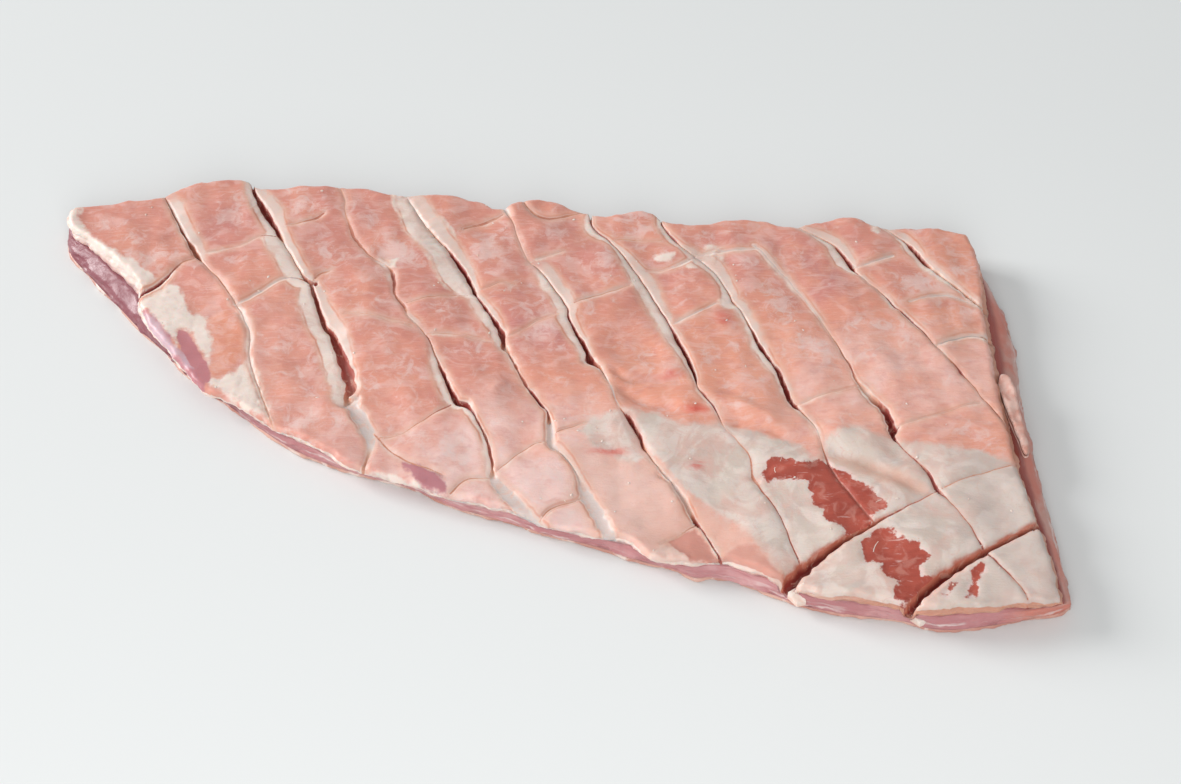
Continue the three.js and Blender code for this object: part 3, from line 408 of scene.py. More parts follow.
# Frosty veils: x, y, half length, half width, turn in degrees, strength
veils = [
    (-178, 80, 8, 5, -20, 0.9), (-92, 72, 8, 5, -20, 0.7), (-175, 70, 17, 5, 12, 0.9),
    (-192, 91, 12, 5, -10, 0.6), (-161, 75, 6, 5, 0, 0.4), (-133, 66, 9, 4, -5, 0.6),
    (-145, 51, 6, 5, -30, 0.5), (-107, 98, 7, 4, 20, 0.7), (-85, 65, 11, 5, -10, 0.5),
    (-63, 70, 11, 8, -30, 1), (-43, 41, 6, 7, -20, 0.5), (-28, 16, 7, 6, -10, 0.7),
    (-54, 6, 9, 3, -15, 0.6), (-23, 73, 8, 8, -40, 0.9), (3, 81, 8, 4, 0, 0.6), (29, 63, 5, 10, 10, 0.7),
    (2, 29, 5, 8, 0, 0.7), (105, 39, 9, 9, -40, 1), (116, 16, 11, 8, -20, 1), (132, 26, 7, 5, -20, 0.8),
    (141, 13, 9, 3, 10, 0.5), (163, 55, 8, 6, -10, 1), (174, 51, 7, 4, -20, 0.9),
    (144, 28, 8, 3, -10, 0.7), (138, 11, 13, 4, -5, 0.5), (183, 62, 4, 5, 0, 0.8),
    (185, 38, 3, 8, 0, 0.5), (70, 78, 7, 4, 0, 0.5), (87, 65, 6, 3, -20, 0.5), (-53, -29, 9, 4, -10, 0.9),
    (-36, -35, 8, 5, -30, 0.8), (-13, -36, 8, 7, -20, 0.5), (-6, -54, 9, 8, 0, 0.9),
    (34, -53, 14, 11, -20, 1), (15, -66, 7, 5, -20, 0.9), (-21, -56, 8, 4, -20, 0.9),
    (-78, -20, 8, 5, -10, 0.8), (42, -71, 11, 5, -10, 0.8), (50, 85, 7, 3, -10, 0.5),
    (44, 94, 8, 3, 0, 0.6), (-110, 20, 7, 4, -20, 0.6), (-95, 9, 8, 4, 0, 0.6),
    (-118, -8, 10, 5, -30, 0.7), (-98, -19, 13, 5, -20, 0.8), (-64, -45, 7, 3, -20, 0.7),
]
coverMesh = {
    "cell": 1.45, "jitter": 0.3, "cutStep": 1.2, "closest": 0.16, "edgeRows": (0.35, 0.9, 1.6, 2.4),
    "bottomCell": 8.0, "wallRings": 7, "web": 0.3, "lineStep": 0.6,
    "fullDepth": 3.4, "leastShare": 0.25, "crossShare": 0.4, "broadShallow": 0.55,
    "lipBase": 0.3, "lipPerFlank": 0.14, "lipPerGape": 0.15, "lipMost": 0.7, "flankBend": 1.3,
    "lipRound": 0.9, "fineGape": 0.8, "pillow": 0.15, "pillowPerDepth": 0.06, "pillowReach": 4.5,
    "crossPillow": 0.42, "leastPale": 0.35, "crossPale": 0.6, "leanRecess": 0.6, "fatRise": 0.2,
    "wobble": 0.1, "uneven": 0.1, "cutReach": 16.0, "farCut": 8.0,
    "wallBulge": 0.35, "wallRough": 0.16, "wallWave": 0.22,
}
# Raggedness of the edges: wavelength, amount
faceRagged = [(14, 0.25), (4, 0.14), (2, 0.08)]
footRagged = [(14, 0.25), (5, 0.2)]
# Ripples of the face: wavelength, height, stretch, turn
faceRipples = [(24, 0.42, 1.4, -25), (9, 0.16, 1.6, -15), (4, 0.06, 2.2, -12), (2.4, 0.03, 1.2, 0)]


# A smooth run through points in plan, in even steps
def smoothRun(points, step=1.0, cells=None):
    p = np.array(points, float)
    p = np.vstack([2 * p[0] - p[1], p, 2 * p[-1] - p[-2]])
    t = np.linspace(0, 1, 20, endpoint=False)[:, None]
    parts = []
    for a, b, c, d in zip(p, p[1:], p[2:], p[3:]):
        before, here, after = (math.sqrt(math.dist(*pair)) for pair in ((a, b), (b, c), (c, d)))
        leave = ((b - a) / before - (c - a) / (before + here) + (c - b) / here) * here
        arrive = ((c - b) / here - (d - b) / (here + after) + (d - c) / after) * here
        parts.append(b + leave * t + (3 * (c - b) - 2 * leave - arrive) * t ** 2
            + (2 * (b - c) + leave + arrive) * t ** 3)
    line = np.vstack([*parts, p[-2:-1]])
    along = np.append(0, np.cumsum(np.hypot(*np.diff(line, axis=0).T)))
    cells = cells or max(2, round(along[-1] / step))
    even = np.linspace(0, along[-1], cells + 1)
    return np.column_stack([np.interp(even, along, line[:, k]) for k in (0, 1)])


def loopOf(edge):
    runs = [smoothRun(edge[side], cells=edgeCells[side])[::way][:-1]
        for side, way in (("front", 1), ("right", 1), ("back", -1), ("left", -1))]
    return np.vstack(runs)


def outward(loop):
    way = np.roll(loop, -1, axis=0) - np.roll(loop, 1, axis=0)
    way /= np.hypot(way[:, 0], way[:, 1])[:, None]
    return np.column_stack([way[:, 1], -way[:, 0]])


def turned(x, y, degrees):
    angle = math.radians(degrees)
    return x * math.cos(angle) + y * math.sin(angle), y * math.cos(angle) - x * math.sin(angle)


# Uneven waves with a mean of 0 and a spread of about 1
def ripples(x, y, size, seed, stretch=1.0, turn=0.0):
    pick = np.random.default_rng(seed)
    waves = 14
    along, across = turned(x, y, turn)
    total = np.zeros(len(x))
    for way, length, start in pick.uniform((0, 0.7, 0), (math.tau, 1.6, math.tau), (waves, 3)):
        path = along / stretch * math.cos(way) + across * math.sin(way)
        total += np.sin(path * math.tau / (size * length) + start)
    return total / math.sqrt(waves / 2)


def markedHeight(x, y):
    marks = np.array(heightMarks, float)
    far = (x[:, None] - marks[:, 0]) ** 2 + (y[:, None] - marks[:, 1]) ** 2 + layers["markReach"] ** 2
    weight = 1 / far ** 2
    return (weight * marks[:, 2]).sum(1) / weight.sum(1)


def faceHeight(x, y):
    height = markedHeight(x, y)
    for centreX, centreY, length, width, turn, rise in swells:
        along, across = turned(x - centreX, y - centreY, turn)
        height += rise * np.exp(-(along / length) ** 2 - (across / width) ** 2)
    return height


def leanTop(x, y):
    bottom = layers["liningTop"] + layers["gap"]
    return bottom + layers["leanShare"] * (markedHeight(x, y) - bottom)


# Signed distance to the nearest of some outlines, below 0 inside
def outlineDistance(outlines, x, y):
    nearest = np.full(len(x), 99.0)
    for outline in outlines:
        near = np.full(len(x), 99.0)
        inside = np.zeros(len(x), bool)
        for (ax, ay), (bx, by) in zip(outline, np.roll(outline, -1, axis=0)):
            along = ((x - ax) * (bx - ax) + (y - ay) * (by - ay)) / ((bx - ax) ** 2 + (by - ay) ** 2)
            share = np.clip(along, 0, 1)
            near = np.minimum(near, np.hypot(x - ax - share * (bx - ax), y - ay - share * (by - ay)))
            crosses = (ay > y) != (by > y)
            inside ^= crosses & (x < (bx - ax) * (y - ay) / ((by - ay) or 1) + ax)
        nearest = np.minimum(nearest, np.where(inside, -near, near))
    return nearest


# A cut as an even line with its way and its values at each step; broad pale slots are shallower
def readyCut(name, stations, seed):
    stations = np.array(stations, float)
    line = smoothRun(stations[:, :2], coverMesh["lineStep"])
    nearest = [np.hypot(*(line - spot).T).argmin() for spot in stations[:, :2]]
    steps = np.arange(len(line))
    values = np.column_stack([np.interp(steps, nearest, stations[:, k]) for k in range(2, 7)])
    way = np.gradient(line, axis=0)
    way /= np.hypot(way[:, 0], way[:, 1])[:, None]
    along = steps * coverMesh["lineStep"]
    wander = coverMesh["wobble"] * ripples(along, 0 * along, 8, seed)
    line = line + wander[:, None] * np.column_stack([-way[:, 1], way[:, 0]])
    values[:, 0] *= 1 + coverMesh["uneven"] * ripples(along, 0 * along, 5, seed + 50)
    values[:, 0] = np.where(values[:, 0] < 1.2, values[:, 0] * coverMesh["fineGape"], values[:, 0])
    least = coverMesh["crossShare"] if name.startswith("cross") else coverMesh["leastShare"]
    values[:, 1] *= np.clip(values[:, 1] / coverMesh["fullDepth"], least, 1)
    broad = np.clip(values[:, 0] / 2 - 0.5, 0, 1) * np.clip(1.5 - 8 * values[:, 2], 0, 1)
    values[:, 1] *= 1 - coverMesh["broadShallow"] * broad
    return {"line": line, "way": way, "values": values}


# Points near a cut, how far to the left of it they lie, and the cut's values there
def acrossCut(cut, x, y, reach):
    line, way = cut["line"], cut["way"]
    low, high = line.min(0) - reach, line.max(0) + reach
    near = np.flatnonzero((x > low[0]) & (x < high[0]) & (y > low[1]) & (y < high[1]))
    across = np.empty(len(near))
    step = np.empty(len(near), int)
    for part in np.array_split(np.arange(len(near)), len(near) // 4000 + 1):
        dx = x[near[part], None] - line[:, 0]
        dy = y[near[part], None] - line[:, 1]
        far = dx ** 2 + dy ** 2
        best = far.argmin(1)
        rows = np.arange(len(part))
        side = way[best, 0] * dy[rows, best] - way[best, 1] * dx[rows, best]
        atEnd = (best == 0) | (best == len(line) - 1)
        across[part] = np.where(atEnd, np.copysign(np.sqrt(far[rows, best]), side), side)
        step[part] = best
    keep = np.abs(across) < reach
    return near[keep], across[keep], cut["values"][step[keep]]


# How far the face lies down in a cut, with the distances from its slot and from its flank's lip
def cutShape(across, values):
    gape, depth, _, rightFlank, leftFlank = values.T
    flank = np.where(across > 0, leftFlank, rightFlank)
    out = np.abs(across) - gape / 2
    lip = coverMesh["lipBase"] + coverMesh["lipPerFlank"] * flank + coverMesh["lipPerGape"] * gape
    lip = np.minimum(lip, coverMesh["lipMost"] * depth)
    share = np.clip(out / (flank + coverMesh["lipRound"]), 0, 1)
    inner = np.clip(-2 * out / gape, 0, 1)
    drop = np.where(out < 0, lip + (depth - lip) * (1 - (1 - inner) ** 3),
        lip * (1 - share) ** coverMesh["flankBend"])
    return drop, out, out - flank


readyCuts = {name: readyCut(name, stations, 200 + i) for i, (name, stations) in enumerate(cuts.items())}
coverLoop = loopOf(coverEdge)
footLoop = loopOf(footEdge)
edgeSpot = np.append(0, np.cumsum(np.hypot(*np.diff(coverLoop, axis=0).T)))     # way round the edge


def spread(share):
    return coverLoop + (footLoop - coverLoop) * share


# How deep the two long cuts reach below the cover, a little wider than they gape
def deepFloor(x, y):
    drop = np.zeros(len(x))
    for name in deepCuts:
        near, across, values = acrossCut(readyCuts[name], x, y, 8)
        beside = np.clip(1 - (np.abs(across) - values[:, 0] / 2 - 0.9) / 0.8, 0, 1)
        drop[near] = np.maximum(drop[near], values[:, 1] * beside)
    return drop


# The common surface of the cover and the lean
def layerHeight(x, y):
    drop = deepFloor(x, y)
    return np.where(drop > 0, np.minimum(leanTop(x, y), faceHeight(x, y) - drop - 0.8), leanTop(x, y))


def evenGrid(loop, cell, seed, jitter=0.3):
    low, high = loop.min(0), loop.max(0)
    rowStep = cell * math.sqrt(3) / 2
    columns = np.arange(low[0], high[0], cell)
    rows = np.arange(low[1], high[1], rowStep)
    grid = np.array([(x + cell / 2 * (j % 2), y) for j, y in enumerate(rows) for x in columns])
    grid += np.random.default_rng(seed).uniform(-jitter, jitter, grid.shape) * cell
    return grid


def thinned(points, closest):
    _, first = np.unique(np.round(points / closest), axis=0, return_index=True)
    return points[np.sort(first)]


# Triangles over a loop and the points in it; gives the places, the faces and the rim in order
def planMesh(loop, inner):
    points = np.vstack([loop, inner])
    count = len(loop)
    made = delaunay_2d_cdt([Vector(p) for p in points.tolist()], [], [list(range(count))], 1, 1e-6)
    came = {source: i for i, sources in enumerate(made[3]) for source in sources}
    return np.array([tuple(v) for v in made[0]]), made[2], [came[i] for i in range(count)]


# A closed body from a top, rings down its wall and a bottom
def bodyMesh(name, top, rings, bottom):
    (topPoints, topFaces, topRim), (bottomPoints, bottomFaces, bottomRim) = top, bottom
    points = [topPoints, *rings, bottomPoints]
    starts = np.cumsum([0, *map(len, points)])
    faces = [tuple(f) for f in topFaces]
    count = len(topRim)
    levels = [list(topRim)]
    levels += [list(range(starts[k], starts[k] + count)) for k in range(1, len(rings) + 1)]
    levels.append([starts[-2] + i for i in bottomRim])
    for upper, lower in zip(levels, levels[1:]):
        for i in range(count):
            j = (i + 1) % count
            faces += [(lower[i], lower[j], upper[j]), (lower[i], upper[j], upper[i])]
    faces += [tuple(starts[-2] + i for i in reversed(f)) for f in bottomFaces]
    mesh = bpy.data.meshes.new(name)
    mesh.from_pydata((np.vstack(points) * mm).tolist(), [], faces)
    mesh.polygons.foreach_set("use_smooth", [True] * len(faces))
    mesh.update()
    body = bpy.data.objects.new(name, mesh)
    bpy.context.collection.objects.link(body)
    return body


def setAttribute(body, name, values):
    attribute = body.data.attributes.new(name, "FLOAT", "POINT")
    attribute.data.foreach_set("value", np.asarray(values, np.float32))


# What the cuts do at places: drop, distance from the slot, tone there, distance from the flank, how
# pale and how red the flank is, whether it is the left one, and the rounding of the tiles beside it
def readCuts(x, y):
    drop, pillow = np.zeros(len(x)), np.zeros(len(x))
    slot, lip = (np.full(len(x), coverMesh["farCut"]) for _ in range(2))
    tone, pale, red, left = (np.zeros(len(x)) for _ in range(4))
    for name, cut in readyCuts.items():
        near, across, values = acrossCut(cut, x, y, coverMesh["cutReach"])
        down, out, beyond = cutShape(across, values)
        drop[near] = np.maximum(drop[near], down)
        closer = out < slot[near]
        tone[near] = np.where(closer, values[:, 2], tone[near])
        slot[near] = np.minimum(slot[near], out)
        nearer = beyond < lip[near]
        deepPale = np.clip((values[:, 1] - 0.9) / 1.4, 0, 1)
        softPale = 0.8 * np.clip((0.32 - values[:, 2]) / 0.15, 0, 1)
        least = coverMesh["crossPale"] if name.startswith("cross") else coverMesh["leastPale"]
        pale[near] = np.where(nearer, np.maximum(least, np.maximum(deepPale, softPale)), pale[near])
        # Left flanks get painted shade in the cover's colour, right flanks painted light
        left[near] = np.where(nearer, across > 0, left[near])
        lip[near] = np.minimum(lip[near], beyond)
        if name in deepCuts:
            red[near] = np.maximum(red[near], (across > 0) & (beyond < 0.3))
        soft = coverMesh["pillow"] + coverMesh["pillowPerDepth"] * values[:, 1]
        soft = np.maximum(soft, coverMesh["crossPillow"] * name.startswith("cross"))
        fade = np.exp(-np.maximum(beyond, 0) / coverMesh["pillowReach"])
        pillow[near] = np.maximum(pillow[near], soft * fade)
    return drop, slot, tone, lip, pale, red, left, pillow


# How far the folds raise or lower the face, less at their ends
def foldHeight(x, y):
    rise = np.zeros(len(x))
    for width, height, route in folds.values():
        line = smoothRun(route, 1.0)
        low, high = line.min(0) - 4 * width, line.max(0) + 4 * width
        near = np.flatnonzero((x > low[0]) & (x < high[0]) & (y > low[1]) & (y < high[1]))
        far = np.hypot(x[near, None] - line[:, 0], y[near, None] - line[:, 1])
        share = far.argmin(1) / (len(line) - 1)
        ends = np.clip(6 * np.minimum(share, 1 - share) + 0.25, 0, 1)
        rise[near] += height * ends * np.exp(-(far.min(1) / width) ** 2)
    return rise


# Rows of points beside a cut, where its section bends
def cutRows(cut):
    every = max(1, round(coverMesh["cutStep"] / coverMesh["lineStep"]))
    line, way, values = (cut[key][::every] for key in ("line", "way", "values"))
    left = np.column_stack([-way[:, 1], way[:, 0]])
    half = values[:, 0] / 2
    rows = [line]
    for side, flank in ((-1, values[:, 3]), (1, values[:, 4])):
        offsets = [np.where(half > 0.6, half * 0.6, half), half, half + 0.3 * np.maximum(flank, 0.8),
            half + np.where(flank > 1.2, 0.65, 0.3) * np.maximum(flank, 0.8), half + np.maximum(flank, 0.55),
            half + flank + 0.6, half + flank + 1.2]
        rows += [line + left * (side * offset)[:, None] for offset in offsets]
    return np.vstack(rows)


# Whether places lie in a cut or on its flanks
def nearAnyCut(x, y):
    taken = np.zeros(len(x), bool)
    for cut in readyCuts.values():
        near, across, values = acrossCut(cut, x, y, coverMesh["cutReach"])
        flank = np.where(across > 0, values[:, 4], values[:, 3])
        taken[near] |= np.abs(across) < values[:, 0] / 2 + flank + 1.2
    return taken


# Rows of points along the deep cuts, for the surface that they sink
def deepRows():
    rows = []
    for name in deepCuts:
        cut = readyCuts[name]
        left = np.column_stack([-cut["way"][:, 1], cut["way"][:, 0]])[::3]
        half = cut["values"][::3, 0] / 2
        for offset in (0 * half, half + 0.5, half + 0.9, half + 1.3, half + 1.7):
            rows += [cut["line"][::3] + left * offset[:, None], cut["line"][::3] - left * offset[:, None]]
    return np.vstack(rows)


def inLoop(points, loop, margin):
    return points[outlineDistance([loop[::4]], points[:, 0], points[:, 1]) < -margin]


def raggedLoop(loop, amounts, seed):
    shift = np.zeros(len(loop))
    for k, (wavelength, amount) in enumerate(amounts):
        shift += amount * ripples(loop[:, 0], loop[:, 1], wavelength, seed + k)
    return loop + outward(loop) * shift[:, None]


# A coarse surface over a loop, at the heights that a function gives
def drape(loop, cell, margin, seed, height):
    inner = np.vstack([deepRows(), evenGrid(loop, cell, seed)])
    inner = thinned(inLoop(inner, loop, margin), 0.4)
    place, faces, rim = planMesh(loop, inner)
    return np.column_stack([place, height(place[:, 0], place[:, 1])]), faces, rim


def faceDetail(x, y):
    height = np.zeros(len(x))
    for k, (wavelength, rise, stretch, turn) in enumerate(faceRipples):
        height += rise * ripples(x, y, wavelength, 31 + k, stretch, turn)
    return height


# The top's mesh, and what the cuts do at its points
def coverTop():
    edge = raggedLoop(coverLoop, faceRagged, 60)
    normal = outward(edge)
    rows = [edge - normal * inset for inset in coverMesh["edgeRows"]]
    grid = evenGrid(coverLoop, coverMesh["cell"], 5, coverMesh["jitter"])
    grid = inLoop(grid, edge, 2.8)
    grid = grid[~nearAnyCut(grid[:, 0], grid[:, 1])]
    beside = inLoop(np.vstack([cutRows(cut) for cut in readyCuts.values()]), edge, 0.3)
    inner = thinned(np.vstack([beside, *rows, grid]), coverMesh["closest"])
    place, faces, rim = planMesh(edge, inner)
    x, y = place.T
    fromCuts = readCuts(x, y)
    drop, pillow = fromCuts[0], fromCuts[-1]
    inside = np.clip(-outlineDistance([edge[::2]], x, y) / layers["rimRadius"], 0, 1)
    inside[rim] = 0
    rounding = layers["rimRadius"] * (1 - np.sqrt(1 - (1 - inside) ** 2))
    lean, recess, fat = (outlineDistance(patches[name], x, y) for name in ("lean", "recess", "fat"))
    sunk = coverMesh["leanRecess"] * np.clip(0.5 - np.minimum(lean, recess) / 1.6, 0, 1)
    raised = coverMesh["fatRise"] * np.clip(0.5 - fat / 2, 0, 1) * (1 + 0.8 * ripples(x, y, 3.5, 77))
    z = faceHeight(x, y) + faceDetail(x, y) * (1 - np.clip(drop / 2, 0, 0.8)) + foldHeight(x, y)
    z += raised - sunk - pillow - drop - rounding
    z = np.maximum(z, layerHeight(x, y) + layers["gap"] + coverMesh["web"])
    return (np.column_stack([place, z]), faces, rim), fromCuts


# The wall's rings from the top's rim to the bottom's, bulged and rough
def coverRings(topRim, bottomRim):
    count = coverMesh["wallRings"]
    rings = []
    for k in range(1, count + 1):
        share = k / (count + 1)
        ring = topRim + (bottomRim - topRim) * share
        bulge = coverMesh["wallBulge"] * math.sin(math.pi * share)
        level = np.full(len(edgeSpot), ring[:, 2].mean())
        rough = coverMesh["wallRough"] * ripples(edgeSpot, level, 3, 90 + k)
        rough += coverMesh["wallWave"] * ripples(edgeSpot, ring[:, 2] * 3, 8, 89)
        ring[:, :2] += outward(ring[:, :2]) * (bulge + rough)[:, None]
        rings.append(ring)
    return rings


# Values for the looks, at the points of the top, the wall and the bottom
def markCover(cover, topPoints, fromCuts, rings, bottomPoints):
    below = np.zeros(len(bottomPoints))
    far = below + coverMesh["farCut"]
    onWall = readCuts(*np.vstack(rings)[:, :2].T)
    for name, row, under, least in (("slotDistance", 1, far, -4), ("slotTone", 2, below, 0),
            ("lipDistance", 3, far, -8), ("flankPale", 4, below, 0), ("flankRed", 5, below, 0),
            ("flankLeft", 6, below, 0)):
        values = np.concatenate([fromCuts[row], onWall[row], under])
        setAttribute(cover, name, np.clip(values, least, coverMesh["farCut"]))
    shares = [np.full(len(ring), (k + 1) / (len(rings) + 1)) for k, ring in enumerate(rings)]
    setAttribute(cover, "sideShare", np.concatenate([np.zeros(len(topPoints)), *shares, below + 1]))
    x, y = np.vstack([topPoints, *rings, bottomPoints])[:, :2].T
    for name, outlines in patches.items():
        setAttribute(cover, name + "Distance", np.clip(outlineDistance(outlines, x, y), -8, 8))
    blood, drift, frost = (np.zeros(len(x)) for _ in range(3))
    for spotX, spotY, length, width in bloodSpots:
        blood = np.maximum(blood, np.exp(-((x - spotX) / length) ** 2 - ((y - spotY) / width) ** 2))
    for spotX, spotY, radius, strength in drifts:
        drift += strength * np.exp(-((x - spotX) ** 2 + (y - spotY) ** 2) / radius ** 2)
    for spotX, spotY, length, width, turn, strength in veils:
        along, across = turned(x - spotX, y - spotY, turn)
        frost = np.maximum(frost, strength * np.exp(-(along / length) ** 2 - (across / width) ** 2))
    for name, values in (("blood", blood), ("drift", drift), ("frost", frost)):
        setAttribute(cover, name, values)


def makeCover():
    top, fromCuts = coverTop()
    lowLoop = raggedLoop(spread(layers["coverSpread"]), footRagged, 61)
    bottom = drape(lowLoop, coverMesh["bottomCell"], 1.2, 6, lambda u, v: layerHeight(u, v) + layers["gap"])
    rings = coverRings(top[0][top[2]], bottom[0][bottom[2]])
    cover = bodyMesh("fatCover", top, rings, bottom)
    markCover(cover, top[0], fromCuts, rings, bottom[0])
    return cover


leanMesh = {
    "topCell": 8.0, "bottomCell": 10.0,
    "ringShares": (0.94, 0.86, 0.78, 0.7, 0.62, 0.55, 0.46, 0.37, 0.28, 0.2, 0.12, 0.05),
    "fibres": [(0.3, 2.5, 16), (0.22, 2, 5), (0.1, 1, 2.2)],    # height, stretch down the wall, wavelength
}


def makeLean():
    topLoop = raggedLoop(spread(layers["leanTopSpread"]), footRagged, 62)
    top = drape(topLoop, leanMesh["topCell"], 1.2, 7, layerHeight)
    bottomZ = layers["liningTop"] + layers["gap"]
    bottomLoop = spread(layers["leanSpreads"][0])
    flat = evenGrid(bottomLoop, leanMesh["bottomCell"], 8)
    place, faces, rim = planMesh(bottomLoop, inLoop(flat, bottomLoop, 3))
    bottom = (np.column_stack([place, np.full(len(place), bottomZ)]), faces, rim)
    topRim = top[0][top[2]]
    rings = []
    shares = leanMesh["ringShares"]
    for share in shares:
        loop = spread(np.interp(share, layers["leanHeights"], layers["leanSpreads"]))
        height = bottomZ + share * (topRim[:, 2] - bottomZ)
        rough = sum(rise * ripples(edgeSpot, height * stretch, wavelength, 101 + i)
            for i, (rise, stretch, wavelength) in enumerate(leanMesh["fibres"]))
        loop = loop + outward(loop) * (rough * (0.3 + 0.7 * (1 - share)))[:, None]
        rings.append(np.column_stack([loop, height]))
    lean = bodyMesh("lean", top, rings, bottom)
    onRings = [np.full(len(topRim), share) for share in shares]
    sideShare = np.concatenate([np.ones(len(top[0])), *onRings, np.zeros(len(place))])
    way = np.concatenate([np.zeros(len(top[0])), *[edgeSpot] * len(rings), np.zeros(len(place))])
    setAttribute(lean, "sideShare", sideShare)
    setAttribute(lean, "edgeWay", way * mm)
    return lean


liningMesh = {
    "topCell": 8.0, "bottomCell": 3.2, "ragged": [(24, 0.35), (6, 0.14), (2.5, 0.07)],
    "hollowMargin": 8.0, "ribTurn": -28, "ribLength": 26, "ribWave": 0.6, "ribBase": 0.15, "hollow": 0.75,
}


def makeLining():
    normal = outward(footLoop)
    footX, footY = footLoop.T
    ragged = sum(amount * ripples(footX, footY, wavelength, 120 + i)
        for i, (wavelength, amount) in enumerate(liningMesh["ragged"]))
    loops = [footLoop + normal * (ragged - inset)[:, None] for inset in layers["liningInset"]]
    rise = layers["liningRise"]
    high = inLoop(evenGrid(loops[-1], liningMesh["topCell"], 9), loops[-1], 2)
    topPlace, topFaces, topRim = planMesh(loops[-1], high)
    low = inLoop(evenGrid(loops[0], liningMesh["bottomCell"], 10), loops[0], 1.5)
    place, faces, rim = planMesh(loops[0], low)
    x, y = place.T
    margin = np.clip(-outlineDistance([loops[0][::4]], x, y) / liningMesh["hollowMargin"], 0, 1)
    along, _ = turned(x, y, liningMesh["ribTurn"])
    wave = liningMesh["ribWave"] * ripples(x, y, 60, 131)
    ribs = 0.5 + 0.5 * np.cos(along * math.tau / liningMesh["ribLength"] + wave)
    hollow = liningMesh["ribBase"] + liningMesh["hollow"] * ribs ** 2 + 0.1 * ripples(x, y, 9, 132)
    z = margin * np.clip(hollow, 0, 1.2)
    bottom = (np.column_stack([place, z]), faces, rim)
    top = (np.column_stack([topPlace, np.full(len(topPlace), rise[-1])]), topFaces, topRim)
    rings = [np.column_stack([loop, np.full(len(loop), height)])
        for loop, height in zip(loops[-2:0:-1], rise[-2:0:-1])]
    lining = bodyMesh("lining", top, rings, bottom)
    way = np.concatenate([np.zeros(len(topPlace)), *[edgeSpot] * len(rings), np.zeros(len(place))])
    setAttribute(lining, "edgeWay", way * mm)
    above = np.zeros(len(topPlace) + len(footLoop) * len(rings))
    setAttribute(lining, "ribs", np.concatenate([above, ribs * margin]))
    return lining


# Shader building
def tint(red, green, blue):
    return (*(((c / 255 + 0.055) / 1.055) ** 2.4 for c in (red, green, blue)), 1)


# A node whose sockets take values or links
def newNode(tree, kind, sockets, settings):
    node = tree.nodes.new(kind)
    for name, value in settings.items():
        setattr(node, name, value)
    for key, value in (sockets or {}).items():
        if isinstance(value, bpy.types.NodeSocket):
            tree.links.new(value, node.inputs[key])
        else:
            node.inputs[key].default_value = value
    return node


def addNode(tree, kind, sockets=None, **settings):
    return newNode(tree, "ShaderNode" + kind, sockets, settings)


def calc(tree, operation, a, b=0.0, clamp=False):
    return addNode(tree, "Math", {0: a, 1: b}, operation=operation, use_clamp=clamp).outputs[0]


def layOver(tree, under, over, mask):
    return addNode(tree, "Mix", {0: mask, 6: under, 7: over}, data_type="RGBA").outputs[2]


def noiseAt(tree, place, scale, detail, roughness=0.5, distortion=0.0):
    return addNode(tree, "TexNoise", {"Vector": place, "Scale": scale, "Detail": detail,
        "Roughness": roughness, "Distortion": distortion}).outputs[0]


def smoothStep(tree, value, low, high, give=(0.0, 1.0)):
    node = addNode(tree, "MapRange", {0: value, 1: low, 2: high, 3: give[0], 4: give[1]})
    node.interpolation_type = "SMOOTHSTEP"
    return node.outputs[0]


def newGroup(name, inputs, outputs):
    group = bpy.data.node_groups.new(name, "ShaderNodeTree")
    for label, kind, value in inputs:
        socket = group.interface.new_socket(label, in_out="INPUT", socket_type=kind)
        socket.default_value = value
    for label, kind in outputs:
        group.interface.new_socket(label, in_out="OUTPUT", socket_type=kind)
    return group, group.nodes.new("NodeGroupInput").outputs, group.nodes.new("NodeGroupOutput").inputs


# A mask from a signed distance in millimetres, with a ragged edge
def raggedGroup():
    group, given, result = newGroup("raggedEdge", [("Distance", "NodeSocketFloat", 1.0),
        ("Ragged", "NodeSocketFloat", 1.0), ("Soft", "NodeSocketFloat", 0.3),
        ("Scale", "NodeSocketFloat", 250.0)],
        [("Mask", "NodeSocketFloat")])
    place = addNode(group, "TexCoord").outputs["Object"]
    noise = noiseAt(group, place, given["Scale"], 5.0, roughness=0.6)
    swing = calc(group, "MULTIPLY", given["Ragged"], 4.0)
    shift = calc(group, "MULTIPLY", calc(group, "SUBTRACT", noise, 0.5), swing)
    distance = calc(group, "ADD", given["Distance"], shift)
    low = calc(group, "MULTIPLY", given["Soft"], -1.0)
    group.links.new(smoothStep(group, distance, low, given["Soft"], (1.0, 0.0)), result["Mask"])
    return group


# Patches of noise, stretched along a way over the piece
def driftGroup():
    group, given, result = newGroup("drifts", [("Scale", "NodeSocketFloat", 60.0),
        ("Stretch", "NodeSocketVector", (1.0, 1.0, 1.0)), ("Turn", "NodeSocketVector", (0.0, 0.0, 0.0)),
        ("Low", "NodeSocketFloat", 0.4), ("High", "NodeSocketFloat", 0.6), ("Warp", "NodeSocketFloat", 0.4),
        ("Detail", "NodeSocketFloat", 5.0)], [("Mask", "NodeSocketFloat")])
    place = addNode(group, "TexCoord").outputs["Object"]
    place = addNode(group, "Mapping", {"Vector": place, "Rotation": given["Turn"],
        "Scale": given["Stretch"]}).outputs[0]
    noise = noiseAt(group, place, given["Scale"], given["Detail"], roughness=0.55, distortion=given["Warp"])
    group.links.new(smoothStep(group, noise, given["Low"], given["High"]), result["Mask"])
    return group


